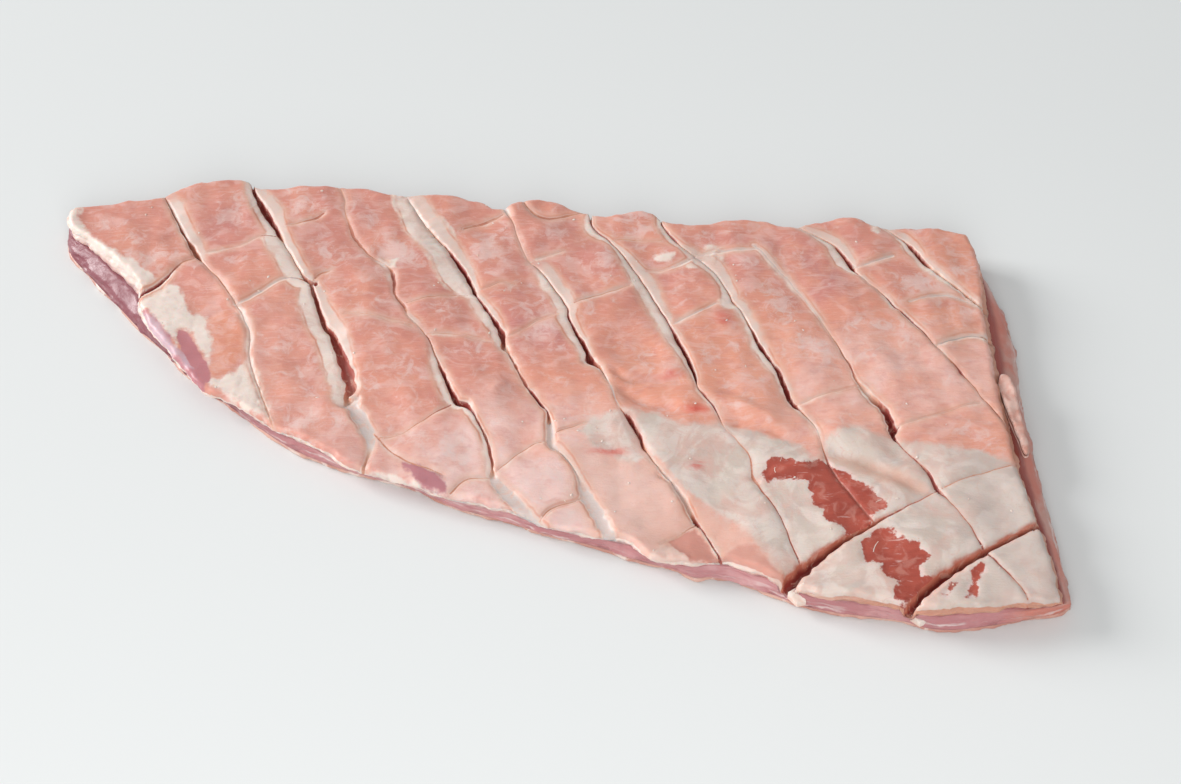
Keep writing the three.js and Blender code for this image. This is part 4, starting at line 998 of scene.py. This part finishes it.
# Fine grain of wet flesh: a height for the bump and a roughness
def grainGroup():
    group, given, result = newGroup("wetGrain", [("Fibre Scale", "NodeSocketFloat", 500.0),
        ("Pore Scale", "NodeSocketFloat", 1500.0), ("Stretch", "NodeSocketVector", (1.0, 1.0, 1.0)),
        ("Rough Low", "NodeSocketFloat", 0.35), ("Rough High", "NodeSocketFloat", 0.55)],
        [("Height", "NodeSocketFloat"), ("Roughness", "NodeSocketFloat")])
    place = addNode(group, "TexCoord").outputs["Object"]
    laid = addNode(group, "Mapping", {"Vector": place, "Scale": given["Stretch"]}).outputs[0]
    fibre = noiseAt(group, laid, given["Fibre Scale"], 4.0)
    pore = noiseAt(group, place, given["Pore Scale"], 2.0)
    group.links.new(calc(group, "ADD", fibre, calc(group, "MULTIPLY", pore, 0.4)), result["Height"])
    wet = noiseAt(group, place, 45.0, 4.0)
    node = addNode(group, "MapRange", {0: wet, 1: 0.35, 2: 0.65, 3: given["Rough Low"],
        4: given["Rough High"]})
    group.links.new(node.outputs[0], result["Roughness"])
    return group


groups = {"ragged": raggedGroup(), "drifts": driftGroup(), "grain": grainGroup()}


def useGroup(tree, name, values):
    return addNode(tree, "Group", values, node_tree=groups[name]).outputs


def driftMask(tree, scale, low, high, stretch=(1.0, 1.0, 1.0), turn=0.0, warp=0.4, detail=5.0):
    return useGroup(tree, "drifts", {"Scale": scale, "Low": low, "High": high, "Stretch": stretch,
        "Turn": (0.0, 0.0, turn), "Warp": warp, "Detail": detail})["Mask"]


def attribute(tree, name):
    return addNode(tree, "Attribute", attribute_name=name).outputs["Fac"]


# A ramp along the length of the piece, in metres
def lengthRamp(tree, low, high, give=(0.0, 1.0)):
    place = addNode(tree, "TexCoord").outputs["Object"]
    return smoothStep(tree, addNode(tree, "SeparateXYZ", {0: place}).outputs["X"], low, high, give)


def newMaterial(name, looks):
    material = bpy.data.materials.new(name)
    material.use_nodes = True
    tree = material.node_tree
    shader = tree.nodes["Principled BSDF"]
    shader.inputs["Subsurface Weight"].default_value = looks["subsurface"]
    shader.inputs["Subsurface Radius"].default_value = looks["radius"]
    shader.inputs["Subsurface Scale"].default_value = looks["depth"]
    shader.inputs["Coat Weight"].default_value = looks["coat"]
    shader.inputs["Coat Roughness"].default_value = looks["coatRoughness"]
    shader.inputs["Specular IOR Level"].default_value = looks["specular"]
    return material, tree, shader


def finish(tree, shader, colour, grain, bump):
    tree.links.new(colour, shader.inputs["Base Color"])
    tree.links.new(grain["Roughness"], shader.inputs["Roughness"])
    node = addNode(tree, "Bump", {"Height": grain["Height"], "Strength": 1.0, "Distance": bump})
    tree.links.new(node.outputs[0], shader.inputs["Normal"])


coverLooks = {
    "salmon": tint(214, 146, 130), "warm": tint(228, 160, 136), "rose": tint(202, 132, 126),
    "pale": tint(237, 202, 194), "veil": tint(230, 204, 198), "fat": tint(236, 222, 212),
    "crease": tint(210, 138, 112), "tan": tint(206, 150, 128),
    # The flank colours are painted light (right of a cut) and painted shade (left of it)
    "flankRightPaintedLight": tint(243, 225, 215), "flankLeft": tint(216, 194, 184), "flankPink": tint(226, 190, 176),
    "rim": tint(224, 178, 158), "skin": tint(212, 196, 185),
    "skinPink": tint(218, 182, 170), "skinGrey": tint(203, 187, 179), "flake": tint(230, 216, 207),
    "peach": tint(224, 184, 170), "foldShade": tint(212, 164, 142), "lean": tint(180, 86, 70),
    "leanDark": tint(156, 66, 54),
    "leanPale": tint(206, 146, 132), "leanFlank": tint(190, 112, 90), "mauve": tint(192, 130, 136),
    "mauveDeep": tint(196, 130, 134), "lavender": tint(212, 186, 194), "orange": tint(222, 152, 128),
    "blood": tint(216, 78, 64), "sideTop": tint(234, 212, 202), "sideLow": tint(212, 164, 158),
    # Slot floor colours by tone: the lean's own red, and partly painted shade in the slits
    "slot": [(0.0, tint(206, 192, 188)), (0.1, tint(218, 198, 190)), (0.22, tint(226, 184, 164)),
        (0.35, tint(210, 148, 122)), (0.5, tint(186, 112, 94)), (0.7, tint(172, 88, 78)),
        (1.0, tint(150, 60, 52))],
    "subsurface": 0.55, "radius": (1.0, 0.6, 0.45), "depth": 0.0026,
    "coat": 0.12, "coatRoughness": 0.3, "specular": 0.4, "bump": 0.00016,
}
# Patches of other flesh: colour, patch, raggedness, softness, scale of the noise, share
overlays = [
    ("leanPale", "recess", 1.0, 0.5, 250.0, 1.0), ("leanPale", "redStrip", 1.5, 1.2, 150.0, 0.7),
    ("mauve", "mauve", 1.6, 0.9, 160.0, 1.0), ("lavender", "lavender", 0.8, 1.2, 150.0, 0.8),
    ("mauveDeep", "lens", 0.8, 0.4, 200.0, 1.0),
]


def scaled(tree, mask, share):
    return calc(tree, "MULTIPLY", mask, share, clamp=True)


# A thin line where a value comes near a level
def thinLine(tree, value, level, low, high, strength):
    near = calc(tree, "ABSOLUTE", calc(tree, "SUBTRACT", value, level))
    return smoothStep(tree, near, low, high, (strength, 0.0))


# The pink face: salmon that is warmer to the right, with drifts of tone, fibres and frosty veils
def faceColour(tree, looks):
    place = addNode(tree, "TexCoord").outputs["Object"]
    right = lengthRamp(tree, -0.06, 0.06, (0.0, 0.7))
    big = driftMask(tree, 34.0, 0.38, 0.62)
    warm = calc(tree, "ADD", scaled(tree, big, 0.5), right, clamp=True)
    colour = layOver(tree, looks["salmon"], looks["warm"], warm)
    drift = attribute(tree, "drift")
    uneven = driftMask(tree, 60.0, 0.25, 0.8)
    rosy = scaled(tree, drift, calc(tree, "ADD", uneven, 0.15))
    colour = layOver(tree, colour, looks["rose"], rosy)
    faded = scaled(tree, calc(tree, "MULTIPLY", drift, -1.0), calc(tree, "ADD", uneven, 0.3))
    colour = layOver(tree, colour, looks["pale"], faded)
    orange = patchMask(tree, "orange", 1.0, 1.5, 120.0)
    colour = layOver(tree, colour, looks["orange"], orange)
    small = driftMask(tree, 140.0, 0.48, 0.7, stretch=(1.0, 1.8, 1.0), turn=0.4, warp=0.8)
    colour = layOver(tree, colour, looks["rose"], scaled(tree, small, 0.3))
    glow = driftMask(tree, 90.0, 0.46, 0.66, stretch=(1.0, 1.5, 1.0), warp=1.0, detail=6.0)
    colour = layOver(tree, colour, looks["pale"], scaled(tree, glow, 0.35))
    fibre = driftMask(tree, 260.0, 0.5, 0.75, stretch=(0.6, 4.5, 1.0), turn=0.25, warp=0.5, detail=2.0)
    colour = layOver(tree, colour, looks["pale"], scaled(tree, fibre, 0.22))
    for way in (-0.35, 0.2):
        hair = driftMask(tree, 120.0, 0.64, 0.7, stretch=(0.3, 3.6, 1.0), turn=way, warp=0.7, detail=3.0)
        colour = layOver(tree, colour, looks["veil"], scaled(tree, hair, 0.2))
    frost = attribute(tree, "frost")
    cloud = noiseAt(tree, place, 150.0, 10.0, roughness=0.66, distortion=1.0)
    wide = noiseAt(tree, place, 38.0, 6.0)
    lift = calc(tree, "ADD", calc(tree, "MULTIPLY", frost, 0.2), calc(tree, "MULTIPLY", wide, 0.35))
    veil = smoothStep(tree, calc(tree, "ADD", cloud, lift), 0.7, 0.9)
    colour = layOver(tree, colour, looks["veil"], scaled(tree, veil, 0.58))
    curl = noiseAt(tree, place, 120.0, 2.0, distortion=2.5)
    curl = thinLine(tree, curl, 0.5, 0.004, 0.022, 0.42)
    return layOver(tree, colour, looks["veil"], scaled(tree, curl, smoothStep(tree, frost, 0.2, 0.8)))


# The grey-white skin over the right front, with pink and grey clouds and white flakes
def skinColour(tree, looks):
    pink = driftMask(tree, 42.0, 0.42, 0.62, warp=0.8)
    colour = layOver(tree, looks["skin"], looks["skinPink"], scaled(tree, pink, 0.8))
    grey = driftMask(tree, 75.0, 0.5, 0.68, warp=0.5)
    colour = layOver(tree, colour, looks["skinGrey"], scaled(tree, grey, 0.8))
    flake = driftMask(tree, 55.0, 0.45, 0.6, warp=1.4, detail=10.0)
    colour = layOver(tree, colour, looks["flake"], scaled(tree, flake, 0.65))
    place = addNode(tree, "TexCoord").outputs["Object"]
    vein = noiseAt(tree, place, 70.0, 3.0, distortion=0.8)
    colour = layOver(tree, colour, looks["skinPink"], thinLine(tree, vein, 0.47, 0.0, 0.012, 0.5))
    return layOver(tree, colour, looks["skinGrey"], lengthRamp(tree, 0.15, 0.19, (0.0, 0.55)))


# Red lean that shows through a tear, with dark and pale fibres and fine white threads
def leanColour(tree, looks):
    dark = driftMask(tree, 90.0, 0.4, 0.66, stretch=(0.8, 1.8, 1.0), turn=-0.7, warp=0.5)
    colour = layOver(tree, looks["lean"], looks["leanDark"], scaled(tree, dark, 0.6))
    light = driftMask(tree, 150.0, 0.5, 0.68, warp=1.2)
    colour = layOver(tree, colour, looks["leanPale"], scaled(tree, light, 0.5))
    for way, share in ((-0.7, 0.45), (0.5, 0.3)):
        thread = driftMask(tree, 260.0, 0.64, 0.7, stretch=(0.5, 2.5, 1.0), turn=way, warp=0.4, detail=4.0)
        colour = layOver(tree, colour, looks["veil"], scaled(tree, thread, share))
    return colour


def patchMask(tree, name, ragged, soft, scale):
    return useGroup(tree, "ragged", {"Distance": attribute(tree, name + "Distance"), "Ragged": ragged,
        "Soft": soft, "Scale": scale})["Mask"]


# Pale rims, flanks and lips beside the cuts, with painted light on the flank right of a cut
# and painted shade on the flank left of it
def layFlanks(tree, looks, colour, skin):
    bare = scaled(tree, attribute(tree, "flankPale"), calc(tree, "SUBTRACT", 1.0, skin))
    rim = smoothStep(tree, attribute(tree, "lipDistance"), 0.2, 3.2, (0.7, 0.0))
    colour = layOver(tree, colour, looks["rim"], scaled(tree, rim, bare))
    lip = patchMask(tree, "lip", 1.4, 1.2, 130.0)
    pale = scaled(tree, lip, attribute(tree, "flankPale"))
    # Lit and shaded copies of one flank colour: painted shade on the left flank, painted light on the right
    flank = layOver(tree, looks["flankRightPaintedLight"], looks["flankLeft"], attribute(tree, "flankLeft"))
    rosy = driftMask(tree, 105.0, 0.44, 0.64, warp=1.0, detail=7.0)
    flank = layOver(tree, flank, looks["flankPink"], scaled(tree, rosy, 0.5))
    flank = layOver(tree, flank, looks["leanFlank"], scaled(tree, skin, 0.35))
    flank = layOver(tree, flank, looks["leanFlank"], attribute(tree, "flankRed"))
    colour = layOver(tree, colour, flank, scaled(tree, pale, 0.95))
    uneven = driftMask(tree, 50.0, 0.4, 0.62)
    crease = thinLine(tree, attribute(tree, "lipDistance"), 0.1, 0.1, 0.7, 0.7)
    return layOver(tree, colour, looks["crease"], scaled(tree, crease, scaled(tree, uneven, bare)))


# The cover's wall, paler above and tan to the right
def laySide(tree, looks, colour):
    side = smoothStep(tree, attribute(tree, "sideShare"), 0.02, 0.12)
    low = smoothStep(tree, attribute(tree, "sideShare"), 0.35, 0.95)
    tone = layOver(tree, looks["sideTop"], looks["sideLow"], low)
    tone = layOver(tree, tone, looks["tan"], lengthRamp(tree, 0.07, 0.14))
    return layOver(tree, colour, tone, side)


# The slots, from pale fat to dark lean, with torn tissue; the darker tones are partly painted shade
def laySlots(tree, looks, colour):
    ramp = addNode(tree, "ValToRGB", {"Fac": attribute(tree, "slotTone")})
    for k, (spot, shade) in enumerate(looks["slot"]):
        stop = ramp.color_ramp.elements[k] if k < 2 else ramp.color_ramp.elements.new(spot)
        stop.position = spot
        stop.color = shade
    upper = smoothStep(tree, attribute(tree, "slotDistance"), -1.0, -0.2)
    redWall = scaled(tree, attribute(tree, "flankRed"), upper)
    tone = layOver(tree, ramp.outputs["Color"], looks["leanFlank"], redWall)
    torn = driftMask(tree, 190.0, 0.52, 0.62, warp=1.2, detail=8.0)
    tone = layOver(tree, tone, looks["rim"], scaled(tree, torn, 0.45))
    return layOver(tree, colour, tone, patchMask(tree, "slot", 0.1, 0.16, 500.0))


def coverMaterial(looks):
    material, tree, shader = newMaterial("fatCover", looks)
    colour = faceColour(tree, looks)
    fat = scaled(tree, patchMask(tree, "fat", 2.2, 1.2, 150.0), 0.92)
    colour = layOver(tree, colour, looks["fat"], fat)
    skin = patchMask(tree, "skin", 2.6, 1.8, 110.0)
    colour = layOver(tree, colour, skinColour(tree, looks), skin)
    peach = scaled(tree, patchMask(tree, "peach", 3.0, 2.4, 80.0), 0.7)
    colour = layOver(tree, colour, looks["peach"], peach)
    # Painted shade under the shelf fold
    shaded = scaled(tree, patchMask(tree, "foldShade", 2.0, 3.0, 80.0), 0.6)
    colour = layOver(tree, colour, looks["foldShade"], shaded)
    colour = layFlanks(tree, looks, colour, skin)
    halo = patchMask(tree, "lean", 2.2, 1.4, 150.0)
    colour = layOver(tree, colour, looks["veil"], scaled(tree, halo, 0.7))
    colour = layOver(tree, colour, leanColour(tree, looks), patchMask(tree, "lean", 2.2, 0.45, 190.0))
    for shade, patch, ragged, soft, scale, share in overlays:
        mask = scaled(tree, patchMask(tree, patch, ragged, soft, scale), share)
        colour = layOver(tree, colour, looks[shade], mask)
    colour = laySide(tree, looks, colour)
    colour = laySlots(tree, looks, colour)
    blotched = driftMask(tree, 220.0, 0.3, 0.6, stretch=(0.5, 1.5, 1.0))
    blood = scaled(tree, scaled(tree, attribute(tree, "blood"), 0.8), blotched)
    colour = layOver(tree, colour, looks["blood"], blood)
    grain = useGroup(tree, "grain", {"Fibre Scale": 380.0, "Pore Scale": 1500.0, "Stretch": (0.8, 2.4, 1.0),
        "Rough Low": 0.34, "Rough High": 0.55})
    finish(tree, shader, colour, grain, looks["bump"])
    return material


leanLooks = {
    "mauve": tint(208, 152, 152), "deep": tint(184, 118, 121), "red": tint(206, 126, 110),
    "brown": tint(204, 154, 142), "tip": tint(128, 58, 71), "seam": tint(230, 212, 208),
    # The deeper red high on the right wall is its own red, deepened partly by painted shade under the cover
    "grooveRedAndShade": tint(158, 78, 68),
    "subsurface": 0.15, "radius": (1.0, 0.4, 0.3), "depth": 0.002,
    "coat": 0.2, "coatRoughness": 0.22, "specular": 0.45, "bump": 0.0003,
}


def leanMaterial(looks):
    material, tree, shader = newMaterial("lean", looks)
    place = addNode(tree, "TexCoord").outputs["Object"]
    height = addNode(tree, "SeparateXYZ", {0: place}).outputs["Z"]
    share = attribute(tree, "sideShare")
    way = calc(tree, "MULTIPLY", attribute(tree, "edgeWay"), 0.2)
    wallPlace = addNode(tree, "CombineXYZ", {0: way, 1: height, 2: 0.0}).outputs[0]
    streak = noiseAt(tree, wallPlace, 480.0, 4.0)
    patch = driftMask(tree, 34.0, 0.4, 0.62)
    colour = layOver(tree, looks["mauve"], looks["deep"], scaled(tree, patch, 0.8))
    colour = layOver(tree, colour, looks["deep"], smoothStep(tree, streak, 0.48, 0.66, (0.0, 0.7)))
    left = lengthRamp(tree, -0.15, -0.09, (0.85, 0.0))
    colour = layOver(tree, colour, looks["tip"], left)
    bare = calc(tree, "SUBTRACT", 1.0, left)
    brown = driftMask(tree, 60.0, 0.42, 0.62)
    redder = layOver(tree, looks["red"], looks["brown"], brown)
    # Higher up the right wall, under the cover's edge: its own red, deepened partly by painted shade
    redder = layOver(tree, redder, looks["grooveRedAndShade"], smoothStep(tree, share, 0.72, 0.95))
    colour = layOver(tree, colour, redder, lengthRamp(tree, 0.178, 0.196))
    drifting = noiseAt(tree, wallPlace, 90.0, 3.0)
    seam = calc(tree, "SUBTRACT", calc(tree, "ADD", share, calc(tree, "MULTIPLY", drifting, 1.5)), 1.05)
    broken = driftMask(tree, 55.0, 0.45, 0.6)
    seam = smoothStep(tree, calc(tree, "ABSOLUTE", seam), 0.02, 0.14, (0.7, 0.0))
    colour = layOver(tree, colour, looks["seam"], scaled(tree, scaled(tree, seam, broken), bare))
    pale = noiseAt(tree, wallPlace, 260.0, 5.0)
    pale = smoothStep(tree, pale, 0.6, 0.68, (0.0, 0.4))
    colour = layOver(tree, colour, looks["seam"], scaled(tree, pale, bare))
    grain = useGroup(tree, "grain", {"Fibre Scale": 500.0, "Pore Scale": 1500.0, "Stretch": (0.4, 0.4, 2.0),
        "Rough Low": 0.3, "Rough High": 0.5})
    finish(tree, shader, colour, grain, looks["bump"])
    return material


liningLooks = {
    "brown": tint(200, 142, 128), "peach": tint(222, 176, 160), "fat": tint(236, 218, 208),
    "hollow": tint(176, 104, 96), "subsurface": 0.1, "radius": (1.0, 0.5, 0.35), "depth": 0.002,
    "coat": 0.15, "coatRoughness": 0.25, "specular": 0.4, "bump": 0.0003,
}


def liningMaterial(looks):
    material, tree, shader = newMaterial("lining", looks)
    patch = driftMask(tree, 40.0, 0.42, 0.6, warp=0.8)
    colour = layOver(tree, looks["brown"], looks["peach"], patch)
    colour = layOver(tree, colour, looks["hollow"], calc(tree, "MULTIPLY", attribute(tree, "ribs"), 0.55))
    fat = driftMask(tree, 55.0, 0.56, 0.64, warp=1.2, detail=8.0)
    colour = layOver(tree, colour, looks["fat"], calc(tree, "MULTIPLY", fat, 0.85))
    grain = useGroup(tree, "grain", {"Fibre Scale": 380.0, "Pore Scale": 1300.0, "Stretch": (1.0, 2.0, 1.0),
        "Rough Low": 0.32, "Rough High": 0.5})
    finish(tree, shader, colour, grain, looks["bump"])
    return material


def scatterTree(name, inputs):
    tree = bpy.data.node_groups.new(name, "GeometryNodeTree")
    tree.interface.new_socket("Geometry", in_out="INPUT", socket_type="NodeSocketGeometry")
    tree.interface.new_socket("Geometry", in_out="OUTPUT", socket_type="NodeSocketGeometry")
    names = {label: tree.interface.new_socket(label, in_out="INPUT", socket_type=kind).identifier
        for label, kind in inputs.items()}
    return tree, tree.nodes.new("NodeGroupInput").outputs, tree.nodes.new("NodeGroupOutput").inputs, names


def geo(tree, kind, sockets=None, **settings):
    return newNode(tree, kind, sockets, settings).outputs


def named(tree, name):
    return geo(tree, "GeometryNodeInputNamedAttribute", {"Name": name}, data_type="FLOAT")[0]


def compared(tree, a, b, operation):
    return geo(tree, "FunctionNodeCompare", {0: a, 1: b}, operation=operation)[0]


# Places one thing over the flat parts of a face: thick in clusters, clear of the slots
def scatterOn(tree, given, thing):
    normal = geo(tree, "ShaderNodeSeparateXYZ", {0: geo(tree, "GeometryNodeInputNormal")[0]})["Z"]
    flat = compared(tree, normal, given["Least Slope"], "GREATER_THAN")
    clear = compared(tree, named(tree, "slotDistance"), given["Clear Of Slot"], "GREATER_THAN")
    within = compared(tree, named(tree, given["Region"]), given["Region Limit"], "LESS_THAN")
    both = geo(tree, "FunctionNodeBooleanMath", {0: flat, 1: clear}, operation="AND")[0]
    both = geo(tree, "FunctionNodeBooleanMath", {0: both, 1: within}, operation="AND")[0]
    cluster = geo(tree, "ShaderNodeTexNoise", {"Scale": given["Cluster Scale"], "Detail": 2.0})[0]
    thick = geo(tree, "ShaderNodeMapRange", {0: cluster, 1: 0.42, 2: 0.66, 3: 0.1, 4: 2.2})[0]
    density = geo(tree, "ShaderNodeMath", {0: given["Density"], 1: thick}, operation="MULTIPLY")[0]
    spread = geo(tree, "GeometryNodeDistributePointsOnFaces", {"Mesh": given["Geometry"], "Selection": both,
        "Density": density, "Seed": given["Seed"]})
    turn = geo(tree, "FunctionNodeRandomValue", {"Min": 0.0, "Max": math.tau, "Seed": 3}, data_type="FLOAT")
    turn = next(socket for socket in turn if socket.enabled)
    spin = geo(tree, "FunctionNodeAxisAngleToRotation", {"Axis": (0.0, 0.0, 1.0), "Angle": turn})[0]
    laid = geo(tree, "FunctionNodeRotateRotation", {0: spread["Rotation"], 1: spin},
        rotation_space="LOCAL")[0]
    size = geo(tree, "FunctionNodeRandomValue", {"Seed": 5}, data_type="FLOAT_VECTOR")
    low, high = given["Smallest"], given["Largest"]
    node = size["Value"].node
    tree.links.new(low, node.inputs["Min"])
    tree.links.new(high, node.inputs["Max"])
    placed = geo(tree, "GeometryNodeInstanceOnPoints", {"Points": spread["Points"], "Instance": thing,
        "Rotation": laid, "Scale": size["Value"]})["Instances"]
    whole = geo(tree, "GeometryNodeRealizeInstances", {0: placed})[0]
    whole = geo(tree, "GeometryNodeSetShadeSmooth", {"Geometry": whole})[0]
    return geo(tree, "GeometryNodeSetMaterial", {"Geometry": whole, "Material": given["Material"]})[0]


scatterInputs = {
    "Density": "NodeSocketFloat", "Seed": "NodeSocketInt", "Cluster Scale": "NodeSocketFloat",
    "Least Slope": "NodeSocketFloat", "Clear Of Slot": "NodeSocketFloat", "Region": "NodeSocketString",
    "Region Limit": "NodeSocketFloat", "Smallest": "NodeSocketVector", "Largest": "NodeSocketVector",
    "Material": "NodeSocketMaterial",
}


def crumbTree():
    tree, given, result, names = scatterTree("crumbs", {**scatterInputs, "Lumps": "NodeSocketFloat"})
    ball = geo(tree, "GeometryNodeMeshIcoSphere", {"Radius": 0.001, "Subdivisions": 2})["Mesh"]
    bump = geo(tree, "ShaderNodeTexNoise", {"Scale": 1400.0, "Detail": 1.0})["Color"]
    bump = geo(tree, "ShaderNodeVectorMath", {0: bump, 1: (0.5, 0.5, 0.5)}, operation="SUBTRACT")[0]
    shift = geo(tree, "ShaderNodeVectorMath", {0: bump, "Scale": given["Lumps"]}, operation="SCALE")[0]
    lump = geo(tree, "GeometryNodeSetPosition", {"Geometry": ball, "Offset": shift})[0]
    tree.links.new(scatterOn(tree, given, lump), result[0])
    return tree, names


def strandTree():
    tree, given, result, names = scatterTree("strands", {**scatterInputs, "Thickness": "NodeSocketFloat"})
    bend = geo(tree, "GeometryNodeCurveQuadraticBezier", {"Resolution": 10, "Start": (-0.001, 0.0, 0.0),
        "Middle": (0.0001, 0.0003, 0.0), "End": (0.001, -0.0001, 0.0)})[0]
    ring = geo(tree, "GeometryNodeCurvePrimitiveCircle",
        {"Resolution": 6, "Radius": given["Thickness"]})["Curve"]
    tube = geo(tree, "GeometryNodeCurveToMesh", {"Curve": bend, "Profile Curve": ring, "Fill Caps": True})[0]
    tree.links.new(scatterOn(tree, given, tube), result[0])
    return tree, names


# Runs a tree over a copy of a piece and keeps what it makes as a mesh
def grown(name, source, made, values):
    tree, names = made
    piece = bpy.data.objects.new(name, source.data.copy())
    bpy.context.collection.objects.link(piece)
    modifier = piece.modifiers.new("grown", "NODES")
    modifier.node_group = tree
    for label, value in values.items():
        modifier[names[label]] = value
    depsgraph = bpy.context.evaluated_depsgraph_get()
    mesh = bpy.data.meshes.new_from_object(piece.evaluated_get(depsgraph), depsgraph=depsgraph)
    piece.modifiers.clear()
    piece.data = mesh
    mesh.name = name
    return piece


bitLooks = {"white": tint(234, 220, 210), "shade": tint(232, 196, 178), "subsurface": 0.2,
    "radius": (1.0, 0.7, 0.6), "depth": 0.001, "coat": 0.1, "coatRoughness": 0.3, "specular": 0.4,
    "bump": 0.0001}
fleshLooks = {**bitLooks, "white": tint(222, 186, 174), "shade": tint(210, 152, 136)}


def bitMaterial(name, looks):
    material, tree, shader = newMaterial(name, looks)
    patch = driftMask(tree, 240.0, 0.4, 0.7)
    grain = useGroup(tree, "grain", {"Fibre Scale": 600.0, "Rough Low": 0.4, "Rough High": 0.55})
    finish(tree, shader, layOver(tree, looks["white"], looks["shade"], patch), grain, looks["bump"])
    return material


crumbs = {
    "Density": 1500.0, "Seed": 11, "Cluster Scale": 28.0, "Least Slope": 0.8, "Clear Of Slot": 0.4,
    "Region": "sideShare", "Region Limit": 0.01, "Smallest": (0.22, 0.22, 0.14), "Largest": (0.75, 0.6, 0.4),
    "Lumps": 0.0007,
}
strands = {
    "Density": 3200.0, "Seed": 4, "Cluster Scale": 60.0, "Least Slope": 0.85, "Clear Of Slot": 0.6,
    "Region": "leanDistance", "Region Limit": 0.5, "Smallest": (1.2, 1.0, 0.8), "Largest": (3.2, 2.6, 1.1),
    "Thickness": 0.00009,
}
# Loose bits at the side: outline in plan, underside, top, rounding of the edge, looks
looseBits = {
    "wedge1": ([(99.5, -103), (103, -107.2), (106.5, -106.3), (105.5, -100)], 4.0, 8.0, 0.15, "fatBits"),
    "wedge2": ([(147, -113.5), (150.3, -116.3), (153.8, -114.8), (152, -110.5)], 3.5, 7.6, 0.15, "fatBits"),
    "sideFlap": ([(193, 0), (194.5, 4), (197.5, 3.5), (199.5, -2.5), (200, -10), (200.6, -19), (201.4, -29),
        (201.2, -38), (199.6, -38.5), (198, -31), (196.4, -24), (195, -17), (193.8, -9)], 11.2, 15, 1.2,
        "fleshBits"),
}


bitMesh = {
    "step": 0.4, "cell": 0.6, "inset": 0.3, "fine": 0.04, "slope": 0.5, "wave": 0.45, "undercut": 0.3,
}


# A straight wedge that slopes to the front, or a rounded, wavy flap where its edge is wide
def makeBit(name, outline, low, high, edge):
    rounded = edge > 1
    loop = np.array(outline, float)
    if rounded:
        loop = smoothRun([*outline, outline[0]], bitMesh["step"])[:-1]
    grid = evenGrid(loop, bitMesh["cell"], 3)
    inner = grid[outlineDistance([loop], grid[:, 0], grid[:, 1]) < -bitMesh["inset"]]
    place, faces, rim = planMesh(loop, inner)
    x, y = place.T
    inside = np.clip(-outlineDistance([loop], x, y) / edge, 0, 1)
    sink = edge * (1 - np.sqrt(1 - (1 - inside) ** 2))
    top = high - sink + bitMesh["fine"] * ripples(x, y, 3, 150)
    top += bitMesh["wave"] * ripples(x, y, 9, 151) if rounded else bitMesh["slope"] * (y - y.mean())
    bottom = low + bitMesh["undercut"] * sink
    bit = bodyMesh(name, (np.column_stack([place, top]), faces, rim), [],
        (np.column_stack([place, bottom]), faces, rim))
    bit.data.polygons.foreach_set("use_smooth", [rounded] * len(bit.data.polygons))
    return bit


cover = makeCover()
print("cover", len(cover.data.polygons), "faces")
lean = makeLean()
print("lean", len(lean.data.polygons), "faces")
lining = makeLining()
print("lining", len(lining.data.polygons), "faces")
cover.data.materials.append(coverMaterial(coverLooks))
lean.data.materials.append(leanMaterial(leanLooks))
lining.data.materials.append(liningMaterial(liningLooks))
bits = bitMaterial("fatBits", bitLooks)
bitMaterial("fleshBits", fleshLooks)
crumbPiece = grown("crumbs", cover, crumbTree(), {**crumbs, "Material": bits})
strandPiece = grown("strands", cover, strandTree(), {**strands, "Material": bits})
loose = [makeBit(name, *values[:4]) for name, values in looseBits.items()]
for piece, values in zip(loose, looseBits.values()):
    piece.data.materials.append(bpy.data.materials[values[4]])
print("crumbs", len(crumbPiece.data.polygons), "strands", len(strandPiece.data.polygons), "faces")

for piece, node in ((cover, "fat_cover"), (lean, "lean"), (lining, "lining")):
    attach(piece, "root")
    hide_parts(node)
for piece in (crumbPiece, strandPiece, *loose):
    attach(piece, "root")
